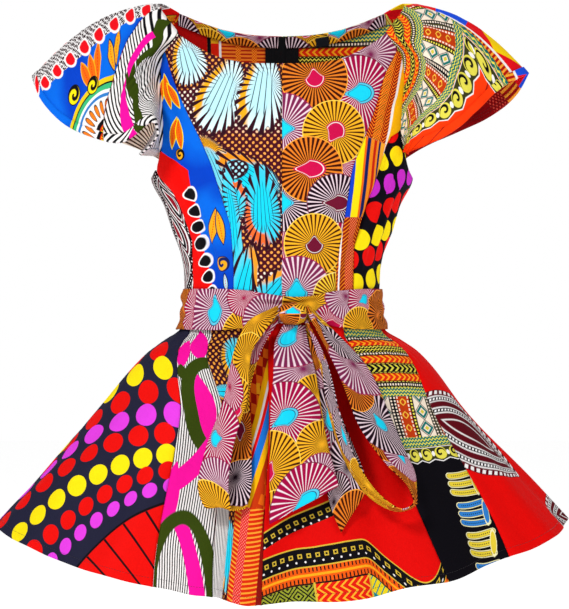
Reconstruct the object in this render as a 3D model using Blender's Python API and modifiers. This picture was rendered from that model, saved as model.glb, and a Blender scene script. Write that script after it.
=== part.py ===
"""A tie-waist blouse in patchwork cotton, filled out as when worn.

Metres, +Z up. The front faces -Y and the wearer's left side is +X. The origin is midway between the shoulders,
at their height. A ring angle runs round the body from the wearer's left side: 90 is the middle of the back, 180 the
wearer's right side and 270 the middle of the front. Every wall is an open sheet with thickness added inwards.
"""
import math
from bisect import bisect_right
from collections import namedtuple

import bpy
from mathutils import Vector

# Cloth
WALL = 0.0013
GAP = 0.0003
SIDE_GAP = 0.0007
NARROWEST_RADIUS = 0.09

# Heights of the edges and seams
SHOULDER_HALF = 0.150
NECK_JOIN_FRONT = -0.036
NECK_BACK = -0.031
NECK_JOIN_BACK = -0.007
UNDERARM = -0.210
WAIST = -0.370
BELT_TOP = -0.341
BELT_BOTTOM = -0.389

Ring = namedtuple("Ring", "height half_width front_depth back_depth")
TORSO = [
    Ring(-0.370, 0.1170, 0.091, 0.084),
    Ring(-0.345, 0.1170, 0.091, 0.084),
    Ring(-0.320, 0.1176, 0.093, 0.084),
    Ring(-0.302, 0.1206, 0.095, 0.085),
    Ring(-0.270, 0.1320, 0.099, 0.087),
    Ring(-0.241, 0.1416, 0.102, 0.090),
    Ring(-0.209, 0.1570, 0.103, 0.092),
    Ring(-0.180, 0.1590, 0.102, 0.093),
    Ring(-0.140, 0.1605, 0.099, 0.092),
    Ring(-0.100, 0.1605, 0.092, 0.086),
    Ring(-0.079, 0.1600, 0.086, 0.079),
    Ring(-0.060, 0.1580, 0.076, 0.073),
    Ring(-0.036, 0.1560, 0.062, 0.062),
    Ring(-0.020, 0.1540, 0.050, 0.052),
    Ring(-0.007, 0.1515, 0.038, 0.040),
    Ring(0.000, 0.1500, 0.030, 0.034),
]

# Fullness over the bust, shaped by the princess seams
BUST_OUT = 0.013
BUST_HALF_SPREAD = 0.045
BUST_HALF_HEIGHT = 0.050
BUST_FROM_CENTRE = 0.072
BUST_HEIGHT = -0.200

# Armhole edge: how many degrees it lies from the side, in front and behind
Armhole = namedtuple("Armhole", "height front back")
ARMHOLE = [
    Armhole(-0.2100, 0.0, 0.0),
    Armhole(-0.2065, 10.2, 10.0),
    Armhole(-0.1990, 18.0, 17.5),
    Armhole(-0.1830, 23.2, 22.5),
    Armhole(-0.1540, 27.4, 25.8),
    Armhole(-0.1220, 26.2, 24.0),
    Armhole(-0.0900, 23.7, 21.8),
    Armhole(-0.0630, 25.2, 21.5),
    Armhole(-0.0360, 36.1, 24.5),
    Armhole(-0.0070, 36.1, 33.7),
]

# Neckline: its height at a distance from the middle
Neckline = namedtuple("Neckline", "reach front back")
NECKLINE = [
    Neckline(0.000, -0.0790, -0.0310),
    Neckline(0.030, -0.0785, -0.0300),
    Neckline(0.064, -0.0735, -0.0257),
    Neckline(0.094, -0.0600, -0.0180),
    Neckline(0.113, -0.0470, -0.0114),
    Neckline(0.126, -0.0360, -0.0070),
    Neckline(0.150, -0.0180, -0.0010),
]

# Seams of the bodice: distance from the middle on the wearer's right and left
Seam = namedtuple("Seam", "height right left")
PRINCESS_FRONT = [
    Seam(-0.370, 0.0570, 0.0637),
    Seam(-0.331, 0.0568, 0.0637),
    Seam(-0.277, 0.0600, 0.0705),
    Seam(-0.241, 0.0693, 0.0762),
    Seam(-0.203, 0.0808, 0.0825),
    Seam(-0.169, 0.0950, 0.0955),
    Seam(-0.132, 0.1129, 0.1090),
    Seam(-0.094, 0.1290, 0.1200),
    Seam(-0.056, 0.1405, 0.1380),
]
SIDE_FRONT = [
    Seam(-0.370, 0.1055, 0.0847),
    Seam(-0.331, 0.1060, 0.0847),
    Seam(-0.2997, 0.1068, 0.0850),
    Seam(-0.272, 0.1117, 0.0925),
    Seam(-0.2308, 0.1280, 0.1060),
    Seam(-0.2005, 0.1500, 0.1150),
    Seam(-0.1630, 0.1510, 0.1290),
    Seam(-0.1540, 0.1510, 0.1420),
]
SIDE_FRONT_TOP = {"right": -0.2005, "left": -0.154}
PRINCESS_BACK = [
    Seam(-0.370, 0.0540, 0.0540),
    Seam(-0.300, 0.0600, 0.0600),
    Seam(-0.240, 0.0740, 0.0740),
    Seam(-0.180, 0.0960, 0.0960),
    Seam(-0.130, 0.1150, 0.1150),
    Seam(-0.085, 0.1340, 0.1340),
    Seam(-0.050, 0.1430, 0.1430),
]
SIDE_BACK = [
    Seam(-0.370, 0.0980, 0.0980),
    Seam(-0.300, 0.1010, 0.1010),
    Seam(-0.250, 0.1160, 0.1160),
    Seam(-0.210, 0.1360, 0.1360),
    Seam(-0.178, 0.1464, 0.1464),
]
SIDE_BACK_TOP = -0.178
SIDE_FRONT_PANEL_TOP = -0.060
SIDE_BACK_PANEL_TOP = -0.056

# Heights of the panels' rows: those that are moved to follow the neck edge, then those that all the panels share
NECK_FRONT_LEVELS = [-0.036, -0.052, -0.068, -0.084]
NECK_BACK_LEVELS = [-0.007, -0.030, -0.053, -0.076]
LEVELS = [-0.100, -0.127, -0.154, -0.178, -0.2005, -0.232, -0.262, -0.290, -0.318, -0.344, WAIST]
CENTRE_COLUMNS = 8
SIDE_FRONT_COLUMNS = 5
SIDE_COLUMNS = 8
HALVINGS = 24

# Peplum: reach and drop from the waist seam to the hem
PEPLUM_TOP = WAIST - GAP
PEPLUM_OUT_SIDE = 0.222
PEPLUM_OUT_FRONT = 0.139
PEPLUM_OUT_BACK = 0.148
PEPLUM_DROP_SIDE = 0.248
PEPLUM_DROP_FRONT = 0.318
PEPLUM_DROP_BACK = 0.308
Flare = namedtuple("Flare", "share out down")
FLARE = [
    Flare(0.00, 0.000, 0.000),
    Flare(0.08, 0.025, 0.078),
    Flare(0.14, 0.120, 0.135),
    Flare(0.20, 0.205, 0.190),
    Flare(0.46, 0.455, 0.460),
    Flare(1.00, 1.000, 1.000),
]
# Folds that run down the peplum: ring angle, half their width in degrees, and how far they stand out at the hem
Fold = namedtuple("Fold", "angle spread out")
FOLDS = [
    Fold(12, 12, 0.006),
    Fold(31, 9, 0.016),
    Fold(48, 8, -0.016),
    Fold(66, 9, 0.018),
    Fold(84, 8, -0.014),
    Fold(101, 9, 0.016),
    Fold(119, 8, -0.018),
    Fold(137, 10, 0.014),
    Fold(155, 9, -0.012),
    Fold(200, 15, 0.006),
    Fold(246, 6.5, -0.017),
    Fold(257.3, 4.0, -0.020),
    Fold(263.4, 5.2, 0.029),
    Fold(273, 5.0, -0.010),
    Fold(284, 8, 0.010),
    Fold(293.5, 6, -0.015),
    Fold(303, 8, 0.009),
    Fold(315, 7, -0.008),
    Fold(335, 12, 0.006),
]
FOLD_GROWTH = 1.6

# Gores: columns of the wall, and the ring angle of the seam where each begins, at the waist, part way down and at
# the hem
Gore = namedtuple("Gore", "name columns top middle hem colour")
CUT_MIDDLE = 0.4
GORES = [
    Gore("peplum_back_fans", 7, 24, 28, 30, (0.30, 0.02, 0.10)),
    Gore("peplum_back_blue", 6, 58, 60, 62, (0.01, 0.16, 0.75)),
    Gore("peplum_back_bars", 6, 90, 90, 90, (0.80, 0.20, 0.03)),
    Gore("peplum_back_leaves", 7, 122, 120, 118, (0.08, 0.01, 0.05)),
    Gore("peplum_dots", 15, 152, 150, 150, (0.02, 0.01, 0.03)),
    Gore("peplum_stripes", 8, 199, 235.3, 243.6, (0.80, 0.80, 0.78)),
    Gore("peplum_plumes", 4, 220.5, 250.4, 256.2, (0.25, 0.60, 0.70)),
    Gore("peplum_kente", 5, 245, 257, 259.9, (0.75, 0.10, 0.02)),
    Gore("peplum_arches", 11, 262, 266, 266.6, (0.65, 0.01, 0.01)),
    Gore("peplum_bands", 6, 308, 303, 302.6, (0.50, 0.45, 0.15)),
    Gore("peplum_paisley", 11, 352, 328.3, 320.3, (0.55, 0.02, 0.02)),
]
GORE_SHARES = [0, 0.07, 0.14, 0.25, 0.40, 0.55, 0.70, 0.85, 1]

# Sleeves: hem points by share of the armhole, front to back
Hem = namedtuple("Hem", "share reach depth height")
SLEEVE_LOW = -0.178
SLEEVE_JOIN = 0.36
HEM_RIGHT = [
    Hem(0.00, 0.1500, -0.046, -0.1830),
    Hem(0.04, 0.1680, -0.062, -0.1830),
    Hem(0.08, 0.1560, -0.084, -0.1745),
    Hem(0.12, 0.1430, -0.094, -0.1600),
    Hem(0.16, 0.1500, -0.104, -0.1500),
    Hem(0.20, 0.1690, -0.105, -0.1640),
    Hem(0.26, 0.1900, -0.100, -0.1730),
    Hem(0.33, 0.2200, -0.092, -0.1660),
    Hem(0.40, 0.2560, -0.068, -0.1480),
    Hem(0.46, 0.2840, -0.036, -0.1180),
    Hem(0.50, 0.2990, 0.000, -0.0870),
    Hem(0.56, 0.2860, 0.034, -0.1120),
    Hem(0.66, 0.2500, 0.066, -0.1360),
    Hem(0.78, 0.2080, 0.083, -0.1560),
    Hem(0.90, 0.1730, 0.075, -0.1700),
    Hem(1.00, 0.1490, 0.040, -0.1830),
]
HEM_LEFT = [
    Hem(0.00, 0.1490, -0.046, -0.1800),
    Hem(0.06, 0.1600, -0.066, -0.1765),
    Hem(0.16, 0.1820, -0.080, -0.1680),
    Hem(0.26, 0.2080, -0.076, -0.1520),
    Hem(0.35, 0.2320, -0.058, -0.1290),
    Hem(0.43, 0.2620, -0.036, -0.1020),
    Hem(0.50, 0.2950, 0.000, -0.0840),
    Hem(0.56, 0.2860, 0.030, -0.1040),
    Hem(0.66, 0.2560, 0.060, -0.1290),
    Hem(0.78, 0.2150, 0.080, -0.1480),
    Hem(0.90, 0.1750, 0.072, -0.1660),
    Hem(1.00, 0.1490, 0.040, -0.1830),
]
# How far the middle of a sleeve stands out from a straight line between armhole and hem
Puff = namedtuple("Puff", "share forward outward upward")
PUFF = [
    Puff(0.00, 0.004, 0.000, 0.000),
    Puff(0.15, 0.022, 0.004, 0.008),
    Puff(0.35, 0.022, 0.006, 0.022),
    Puff(0.50, 0.000, 0.008, 0.034),
    Puff(0.65, -0.022, 0.006, 0.022),
    Puff(0.85, -0.022, 0.004, 0.008),
    Puff(1.00, -0.004, 0.000, 0.000),
]
SLEEVE_RIGHT_SEAM = (0.46, 0.30)
SLEEVE_LEFT_SEAM = (0.48, 0.44)
SLEEVE_ROWS = 6
SLEEVE_COLUMNS = 14
SLEEVE_CLEAR = 0.0007
SLEEVE_GAP = 0.0012
Point = namedtuple("Point", "x y z")

# Belt band round the waist: half its width, its depths, and how far it lies below the top of the belt
Band = namedtuple("Band", "share half_width front_depth back_depth")
BAND = [
    Band(0.0, 0.1196, 0.0936, 0.0866),
    Band(0.6, 0.1216, 0.0956, 0.0886),
    Band(1.0, 0.1270, 0.1006, 0.0936),
]
BAND_WALL = 0.0020
BAND_COLUMNS = 60
BAND_ROWS = 6
BAND_PLEAT = 0.0016
BAND_PLEATS = 3
BAND_PLEAT_FAR = 0.3
KNOT_ANGLE = 278.0
BAND_GATHER = 24.0
BAND_NARROWING = 0.20

# Knot and bow, as seen from the front: across, then down from the shoulders
KNOT_ACROSS = 0.0125
KNOT_HEIGHT = -0.3700
KNOT_HALF_WIDTH = 0.0160
KNOT_HALF_HEIGHT = 0.0130
KNOT_DEPTH = 0.0240
KNOT_BACK = -0.0976
KNOT_SQUARENESS = 2.6

BOW_WALL = 0.0016
Strap = namedtuple("Strap", "share x1 z1 out1 x2 z2 out2")
RIGHT_LOOP = [
    Strap(0.00, -0.0042, -0.3600, 0.0200, -0.0042, -0.3700, 0.0190),
    Strap(0.08, -0.0400, -0.3800, 0.0320, -0.0180, -0.3880, 0.0330),
    Strap(0.18, -0.0550, -0.4130, 0.0360, -0.0350, -0.4170, 0.0400),
    Strap(0.30, -0.0660, -0.4650, 0.0360, -0.0400, -0.4650, 0.0420),
    Strap(0.40, -0.0860, -0.5220, 0.0320, -0.0560, -0.5220, 0.0400),
    Strap(0.47, -0.0940, -0.5640, 0.0270, -0.0600, -0.5610, 0.0350),
    Strap(0.50, -0.0850, -0.5860, 0.0200, -0.0560, -0.5880, 0.0260),
    Strap(0.54, -0.0760, -0.5840, 0.0120, -0.0410, -0.5860, 0.0210),
    Strap(0.62, -0.0700, -0.5560, 0.0080, -0.0340, -0.5560, 0.0190),
    Strap(0.72, -0.0640, -0.5120, 0.0070, -0.0340, -0.5120, 0.0150),
    Strap(0.82, -0.0560, -0.4660, 0.0070, -0.0370, -0.4660, 0.0120),
    Strap(0.92, -0.0380, -0.4120, 0.0120, -0.0240, -0.4140, 0.0140),
    Strap(1.00, -0.0042, -0.3720, 0.0110, -0.0042, -0.3790, 0.0120),
]
LEFT_LOOP = [
    Strap(0.00, 0.0282, -0.3780, 0.0190, 0.0282, -0.3740, 0.0110),
    Strap(0.15, 0.0530, -0.4300, 0.0440, 0.0450, -0.4300, 0.0240),
    Strap(0.30, 0.0660, -0.4830, 0.0480, 0.0550, -0.4860, 0.0240),
    Strap(0.42, 0.0800, -0.5280, 0.0460, 0.0690, -0.5320, 0.0240),
    Strap(0.52, 0.1080, -0.5700, 0.0420, 0.0990, -0.5760, 0.0230),
    Strap(0.58, 0.1340, -0.5860, 0.0390, 0.1310, -0.5900, 0.0210),
    Strap(0.62, 0.1460, -0.5790, 0.0370, 0.1500, -0.5820, 0.0200),
    Strap(0.66, 0.1400, -0.5640, 0.0370, 0.1500, -0.5600, 0.0180),
    Strap(0.76, 0.1190, -0.5410, 0.0380, 0.1390, -0.5260, 0.0150),
    Strap(0.86, 0.0870, -0.4960, 0.0420, 0.1230, -0.4870, 0.0130),
    Strap(0.93, 0.0650, -0.4390, 0.0420, 0.1000, -0.4370, 0.0120),
    Strap(1.00, 0.0282, -0.3645, 0.0200, 0.0282, -0.3610, 0.0110),
]
LOOP_STEPS = 30
LOOP_COLUMNS = 4

Tail = namedtuple("Tail", "share left_x left_z right_x right_z")
TAIL_FRONT = [
    Tail(0.00, 0.0010, -0.3832, 0.0260, -0.3832),
    Tail(0.12, -0.0090, -0.4080, 0.0310, -0.4080),
    Tail(0.28, -0.0100, -0.4430, 0.0390, -0.4400),
    Tail(0.42, -0.0130, -0.4770, 0.0440, -0.4720),
    Tail(0.70, -0.0140, -0.5420, 0.0520, -0.5180),
    Tail(1.00, -0.0140, -0.6030, 0.0640, -0.5620),
]
TAIL_BACK = [
    Tail(0.00, 0.0080, -0.3835, 0.0270, -0.3835),
    Tail(0.20, 0.0200, -0.4320, 0.0500, -0.4290),
    Tail(0.45, 0.0320, -0.4970, 0.0640, -0.4770),
    Tail(0.70, 0.0470, -0.5560, 0.0780, -0.5120),
    Tail(0.90, 0.0560, -0.5900, 0.0930, -0.5500),
    Tail(1.00, 0.0660, -0.6130, 0.0970, -0.5660),
]
TAIL_FRONT_OUT = (0.0125, 0.0210, 0.0030)
TAIL_BACK_OUT = (0.0088, 0.0110, 0.0012)
TAIL_ROWS = 12
TAIL_COLUMNS = 6
TAIL_PLEATS = 2.0
TAIL_PLEAT_START = 0.2

# Pieces inside the back neck
ZIP_HALF_WIDTH = 0.0160
ZIP_WALL = 0.0010
FACING_WIDTH = 0.014
FACING_START = 0.02
FACING_WALL = 0.0010
LABEL_COLUMNS = (2.9, 2.2)
LABEL_ROWS = (0.32, 0.95)
SLIDER_HALF_WIDTH = 0.0032
SLIDER_HALF_HEIGHT = 0.0055
SLIDER_DEPTH = 0.0036
SLIDER_BELOW = 0.009
ZIP_ROWS = 12
ZIP_WIDEST_ROW = 3
ZIP_START = 0.03
TRIM_CLEAR = 0.0006

CLOTH_ROUGHNESS = 0.72


def read(rows, column, at):
    """The value of a column where the table's first column is at, on a smooth curve through the rows."""
    places = [row[0] for row in rows]
    values = [getattr(row, column) for row in rows]
    last = len(rows) - 1
    at = min(max(at, places[0]), places[-1])
    low = min(max(bisect_right(places, at) - 1, 0), last - 1)
    rises = [(values[k + 1] - values[k]) / (places[k + 1] - places[k]) for k in range(last)]

    def slope(k):
        before, after = rises[max(k - 1, 0)], rises[min(k, last - 1)]
        return 2 * before * after / (before + after) if before * after > 0 else 0.0

    step = places[low + 1] - places[low]
    f = (at - places[low]) / step
    ease = f * f * (3 - 2 * f)
    bend = step * f * (1 - f) * (slope(low) * (1 - f) - slope(low + 1) * f)
    return values[low] * (1 - ease) + values[low + 1] * ease + bend


def mix(a, b, share):
    return a + (b - a) * share


def bell(distance, spread):
    return math.exp(-((distance / spread) ** 2))


def torso_point(angle, height):
    """A point on the outside of the bodice."""
    across, deep = math.cos(math.radians(angle)), math.sin(math.radians(angle))
    x = read(TORSO, "half_width", height) * across
    y = read(TORSO, "back_depth" if deep > 0 else "front_depth", height) * deep
    if deep < 0:
        full = sum(bell(x - side * BUST_FROM_CENTRE, BUST_HALF_SPREAD) for side in (-1, 1))
        y += deep * BUST_OUT * full * bell(height - BUST_HEIGHT, BUST_HALF_HEIGHT)
    return (x, y, height)


def ring_angle(x, height, front):
    half_width = read(TORSO, "half_width", height)
    angle = math.degrees(math.acos(max(-1.0, min(1.0, x / half_width))))
    return 360 - angle if front else angle


def armhole_angle(side, front, height):
    from_side = read(ARMHOLE, "front" if front else "back", height)
    if side == "right":
        return 180 + from_side if front else 180 - from_side
    return 360 - from_side if front else from_side


def seam_line(rows, side, front, top):
    """The ring angle of a seam at each height; above its top the panel's edge follows the armhole."""
    sign = -1 if side == "right" else 1

    def line(height):
        if height > top:
            return armhole_angle(side, front, height)
        return ring_angle(sign * read(rows, side, height), height, front)

    return line


def armhole_edge(line_at):
    """The height at which a line down a panel meets the lower edge of the armhole."""
    low, high = UNDERARM, SIDE_FRONT_TOP["left"]
    for _ in range(HALVINGS):
        height = (low + high) / 2
        angle = line_at(height) % 360
        from_side = abs((angle + 90) % 180 - 90)
        edge = read(ARMHOLE, "front" if angle > 180 else "back", height)
        low, high = (height, high) if from_side > edge else (low, height)
    return (low + high) / 2


def neck_edge(line_at, front):
    """The height at which a line down a panel meets the neckline."""
    height = NECK_JOIN_FRONT if front else NECK_JOIN_BACK
    for _ in range(HALVINGS):
        x = torso_point(line_at(height), height)[0]
        height = read(NECKLINE, "front" if front else "back", abs(x))
    return height


def material(name, colour, roughness=CLOTH_ROUGHNESS, metallic=0.0):
    made = bpy.data.materials.new(name)
    made.use_nodes = True
    shader = made.node_tree.nodes["Principled BSDF"]
    shader.inputs["Base Color"].default_value = (*colour, 1.0)
    shader.inputs["Roughness"].default_value = roughness
    shader.inputs["Metallic"].default_value = metallic
    made.diffuse_color = (*colour, 1.0)
    return made


def sheet(name, rows, wall, colour, closed=False):
    """A wall through rows of outside points, each row running anticlockwise as seen from above, top row first."""
    across = len(rows[0])
    faces = []
    for j in range(len(rows) - 1):
        for i in range(across if closed else across - 1):
            k = (i + 1) % across
            faces.append((j * across + i, (j + 1) * across + i, (j + 1) * across + k, j * across + k))
    mesh = bpy.data.meshes.new(name)
    mesh.from_pydata([point for row in rows for point in row], [], faces)
    mesh.materials.append(material(name, colour))
    mesh.shade_smooth()
    piece = bpy.data.objects.new(name, mesh)
    thickness = piece.modifiers.new("wall", "SOLIDIFY")
    thickness.thickness = wall
    thickness.offset = -1
    BLOUSE.objects.link(piece)
    return piece


def gather(piece):
    """Moves an object that an operator made into the blouse's collection."""
    for collection in list(piece.users_collection):
        collection.objects.unlink(piece)
    BLOUSE.objects.link(piece)


def between(start, end, share, gap=GAP):
    """A ring angle at a share of the way between two seams, half a gap clear of each."""
    clear = math.degrees(gap / 2 / NARROWEST_RADIUS)
    return mix(start + clear, end - clear, share)


def bodice_panel(name, start, end, columns, top, upper_levels, colour, gap=GAP):
    """A panel between two seams. Its top edge is at top(line), and the upper levels are moved to follow that edge."""
    common = [level for level in LEVELS if level < upper_levels[-1]]
    rows = []
    shares = [i / columns for i in range(columns + 1)]
    lines = [lambda height, share=share: between(start(height), end(height), share, gap) for share in shares]
    tops = [top(line) for line in lines]
    first, last = upper_levels[0], common[0]
    for level in upper_levels:
        share = (level - first) / (last - first)
        heights = [mix(edge, last, share) for edge in tops]
        rows.append([torso_point(line(height), height) for line, height in zip(lines, heights)])
    for level in common:
        rows.append([torso_point(line(level), level) for line in lines])
    sheet(name, rows, WALL, colour)
    return rows


def bodice():
    def centre(front):
        return lambda height: 270 if front else 90

    def princess(side, front):
        rows = PRINCESS_FRONT if front else PRINCESS_BACK
        return seam_line(rows, side, front, rows[-1].height)

    def side_seam(side, front):
        if front:
            return seam_line(SIDE_FRONT, side, True, SIDE_FRONT_TOP[side])
        return seam_line(SIDE_BACK, side, False, SIDE_BACK_TOP)

    def level(height):
        return lambda line: height

    def neck_front(line):
        return neck_edge(line, True)

    def neck_back(line):
        return neck_edge(line, False)

    colours = {
        "front_centre_right": (0.25, 0.60, 0.72), "front_centre_left": (0.75, 0.35, 0.12),
        "front_side_right": (0.02, 0.20, 0.75), "front_side_left": (0.80, 0.15, 0.02),
        "side_right": (0.20, 0.02, 0.05), "side_left": (0.10, 0.01, 0.12),
        "back_centre_right": (0.70, 0.12, 0.03), "back_centre_left": (0.60, 0.30, 0.06),
        "back_side_right": (0.10, 0.10, 0.12), "back_side_left": (0.55, 0.05, 0.25),
    }
    seams = {
        "front_centre_right": (princess("right", True), centre(True)),
        "front_centre_left": (centre(True), princess("left", True)),
        "back_centre_right": (centre(False), princess("right", False)),
        "back_centre_left": (princess("left", False), centre(False)),
    }
    rows_of = {}
    for name, (start, end) in seams.items():
        front = name.startswith("front")
        levels = NECK_FRONT_LEVELS if front else NECK_BACK_LEVELS
        top = neck_front if front else neck_back
        rows_of[name] = bodice_panel(name, start, end, CENTRE_COLUMNS, top, levels, colours[name])

    for side in ("right", "left"):
        for front in (True, False):
            panel_top = SIDE_FRONT_PANEL_TOP if front else SIDE_BACK_PANEL_TOP
            inner, outer = princess(side, front), side_seam(side, front)
            start, end = (outer, inner) if (side == "right") == front else (inner, outer)
            name = f"{'front' if front else 'back'}_side_{side}"
            levels = [mix(panel_top, LEVELS[0], share / 3) for share in range(3)]
            bodice_panel(name, start, end, SIDE_FRONT_COLUMNS, level(panel_top), levels, colours[name])

        front_seam, back_seam = side_seam(side, True), side_seam(side, False)
        if side == "right":
            start, end = back_seam, front_seam
        else:
            start, end = front_seam, lambda height, seam=back_seam: seam(height) + 360
        levels = [SIDE_FRONT_TOP["left"], -0.178, -0.2005] if side == "left" else [-0.2005]
        colour = colours[f"side_{side}"]
        bodice_panel(f"side_{side}", start, end, SIDE_COLUMNS, armhole_edge, levels, colour, SIDE_GAP)
    return {"right": rows_of["back_centre_right"], "left": [row[::-1] for row in rows_of["back_centre_left"]]}


def peplum_point(angle, share, folds=1.0):
    """A point on the outside of the peplum, at a share of the way down the cloth."""
    across, deep = math.cos(math.radians(angle)), math.sin(math.radians(angle))
    waist = TORSO[0]
    out, down = read(FLARE, "out", share), read(FLARE, "down", share)
    half_width = waist.half_width + PEPLUM_OUT_SIDE * out
    if deep < 0:
        depth, drop = waist.front_depth + PEPLUM_OUT_FRONT * out, PEPLUM_DROP_FRONT
    else:
        depth, drop = waist.back_depth + PEPLUM_OUT_BACK * out, PEPLUM_DROP_BACK
    drop = mix(PEPLUM_DROP_SIDE, drop, deep * deep)
    fold = sum(f.out * bell((angle - f.angle + 180) % 360 - 180, f.spread) for f in FOLDS)
    fold *= folds * share ** FOLD_GROWTH
    return ((half_width + fold) * across, (depth + fold) * deep, PEPLUM_TOP - drop * down)


def peplum():
    Line = namedtuple("Line", "share angle")
    starts = []
    for gore in GORES:
        starts.append([Line(0, gore.top), Line(CUT_MIDDLE, gore.middle), Line(1, gore.hem)])
    for k, gore in enumerate(GORES):
        turn = 360 if k + 1 == len(GORES) else 0
        here, after = starts[k], starts[(k + 1) % len(GORES)]
        rows = []
        for share in GORE_SHARES:
            start, end = read(here, "angle", share), read(after, "angle", share) + turn
            angles = [between(start, end, i / gore.columns) for i in range(gore.columns + 1)]
            rows.append([peplum_point(angle, share) for angle in angles])
        sheet(gore.name, rows, WALL, gore.colour)


def sleeve_point(side, along, down):
    """A point on the outside of a sleeve: along the armhole from front to back, and down from the seam to the hem."""
    sign = -1 if side == "right" else 1
    if SLEEVE_JOIN < along < 1 - SLEEVE_JOIN:
        share = (along - SLEEVE_JOIN) / (1 - 2 * SLEEVE_JOIN)
        angle = math.radians(180 * share)
        front = Point(*torso_point(armhole_angle("left", True, NECK_JOIN_FRONT), NECK_JOIN_FRONT))
        back = Point(*torso_point(armhole_angle("left", False, NECK_JOIN_BACK), NECK_JOIN_BACK))
        lift = math.sin(angle)
        top = Point(
            mix(front.x, back.x, share) + (SHOULDER_HALF - front.x) * lift,
            mix(front.y, back.y, share),
            mix(front.z, back.z, share) - (front.z + back.z) / 2 * lift,
        )
    else:
        front = along <= SLEEVE_JOIN
        share = along / SLEEVE_JOIN if front else (1 - along) / SLEEVE_JOIN
        height = mix(SLEEVE_LOW, NECK_JOIN_FRONT if front else NECK_JOIN_BACK, share)
        top = Point(*torso_point(armhole_angle("left", front, height), height))
    rows = HEM_RIGHT if side == "right" else HEM_LEFT
    hem = Point(*(read(rows, column, along) for column in ("reach", "depth", "height")))
    puff = 2 * down * (1 - down)
    x = mix(top.x + SLEEVE_GAP, hem.x, down) + puff * read(PUFF, "outward", along)
    y = mix(top.y, hem.y, down) - puff * read(PUFF, "forward", along)
    z = mix(top.z, hem.z, down) + puff * read(PUFF, "upward", along)
    return (sign * x, y, z)


def sleeves():
    pieces = {
        "sleeve_right_front": ("right", 0, SLEEVE_RIGHT_SEAM, (0.75, 0.75, 0.72)),
        "sleeve_right_back": ("right", SLEEVE_RIGHT_SEAM, 1, (0.02, 0.22, 0.80)),
        "sleeve_left_front": ("left", 0, SLEEVE_LEFT_SEAM, (0.50, 0.45, 0.12)),
        "sleeve_left_back": ("left", SLEEVE_LEFT_SEAM, 1, (0.70, 0.10, 0.03)),
    }
    for name, (side, start, end, colour) in pieces.items():
        rows = []
        for j in range(SLEEVE_ROWS + 1):
            down = j / SLEEVE_ROWS
            first = start if start == 0 else mix(*start, down) + SLEEVE_CLEAR
            last = end if end == 1 else mix(*end, down) - SLEEVE_CLEAR
            row = [sleeve_point(side, mix(first, last, i / SLEEVE_COLUMNS), down) for i in range(SLEEVE_COLUMNS + 1)]
            rows.append(row if side == "right" else row[::-1])
        sheet(name, rows, WALL, colour)


def belt():
    rows = []
    for j in range(BAND_ROWS + 1):
        row = []
        for i in range(BAND_COLUMNS):
            angle = 360 * i / BAND_COLUMNS
            near = bell((angle - KNOT_ANGLE + 180) % 360 - 180, BAND_GATHER)
            share = mix(BAND_NARROWING * near, 1 - BAND_NARROWING * near, j / BAND_ROWS)
            wave = (1 - math.cos(2 * math.pi * BAND_PLEATS * j / BAND_ROWS)) / 2
            pleat = BAND_PLEAT * mix(BAND_PLEAT_FAR, 1.0, near) * wave
            across, deep = math.cos(math.radians(angle)), math.sin(math.radians(angle))
            depth = read(BAND, "back_depth" if deep > 0 else "front_depth", share) + pleat
            half_width = read(BAND, "half_width", share) + pleat
            row.append((half_width * across, depth * deep, mix(BELT_TOP, BELT_BOTTOM, share)))
        rows.append(row)
    sheet("belt_band", rows, BAND_WALL, (0.55, 0.30, 0.40), closed=True)


def front_surface(x, height):
    """How far forward the unfolded cloth lies at a place seen from the front."""
    if height >= PEPLUM_TOP:
        return torso_point(ring_angle(x, height, True), height)[1]
    share, angle = 0.0, 270.0
    for _ in range(HALVINGS):
        drop = mix(PEPLUM_DROP_SIDE, PEPLUM_DROP_FRONT, math.sin(math.radians(angle)) ** 2)
        low, high = 0.0, 1.0
        for _ in range(HALVINGS):
            share = (low + high) / 2
            low, high = (share, high) if read(FLARE, "down", share) * drop < PEPLUM_TOP - height else (low, share)
        half_width = TORSO[0].half_width + PEPLUM_OUT_SIDE * read(FLARE, "out", share)
        angle = 360 - math.degrees(math.acos(max(-1.0, min(1.0, x / half_width))))
    return peplum_point(angle, share, folds=0)[1]


def bow_loop(name, rows_of):
    rows = []
    for j in range(LOOP_STEPS + 1):
        share = j / LOOP_STEPS
        first, second = [
            [read(rows_of, f"{column}{edge}", share) for column in ("x", "z", "out")] for edge in (1, 2)
        ]
        row = []
        for i in range(LOOP_COLUMNS + 1):
            x, z, out = (mix(a, b, i / LOOP_COLUMNS) for a, b in zip(first, second))
            row.append((x, front_surface(x, z) - out, z))
        rows.append(row)
    sheet(name, rows, BOW_WALL, (0.45, 0.05, 0.18))


def bow_tail(name, rows_of, lift):
    top_out, bottom_out, pleat = lift
    rows = []
    for j in range(TAIL_ROWS + 1):
        share = j / TAIL_ROWS
        left_x, left_z, right_x, right_z = (read(rows_of, c, share) for c in Tail._fields[1:])
        row = []
        for i in range(TAIL_COLUMNS + 1):
            u = i / TAIL_COLUMNS
            x, z = mix(left_x, right_x, u), mix(left_z, right_z, u)
            fold = pleat * (1 - math.cos(2 * math.pi * TAIL_PLEATS * u)) / 2 * min(1, share / TAIL_PLEAT_START)
            row.append((x, front_surface(x, z) - mix(top_out, bottom_out, share) - fold, z))
        rows.append(row)
    sheet(name, rows, BOW_WALL, (0.60, 0.25, 0.35))


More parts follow.
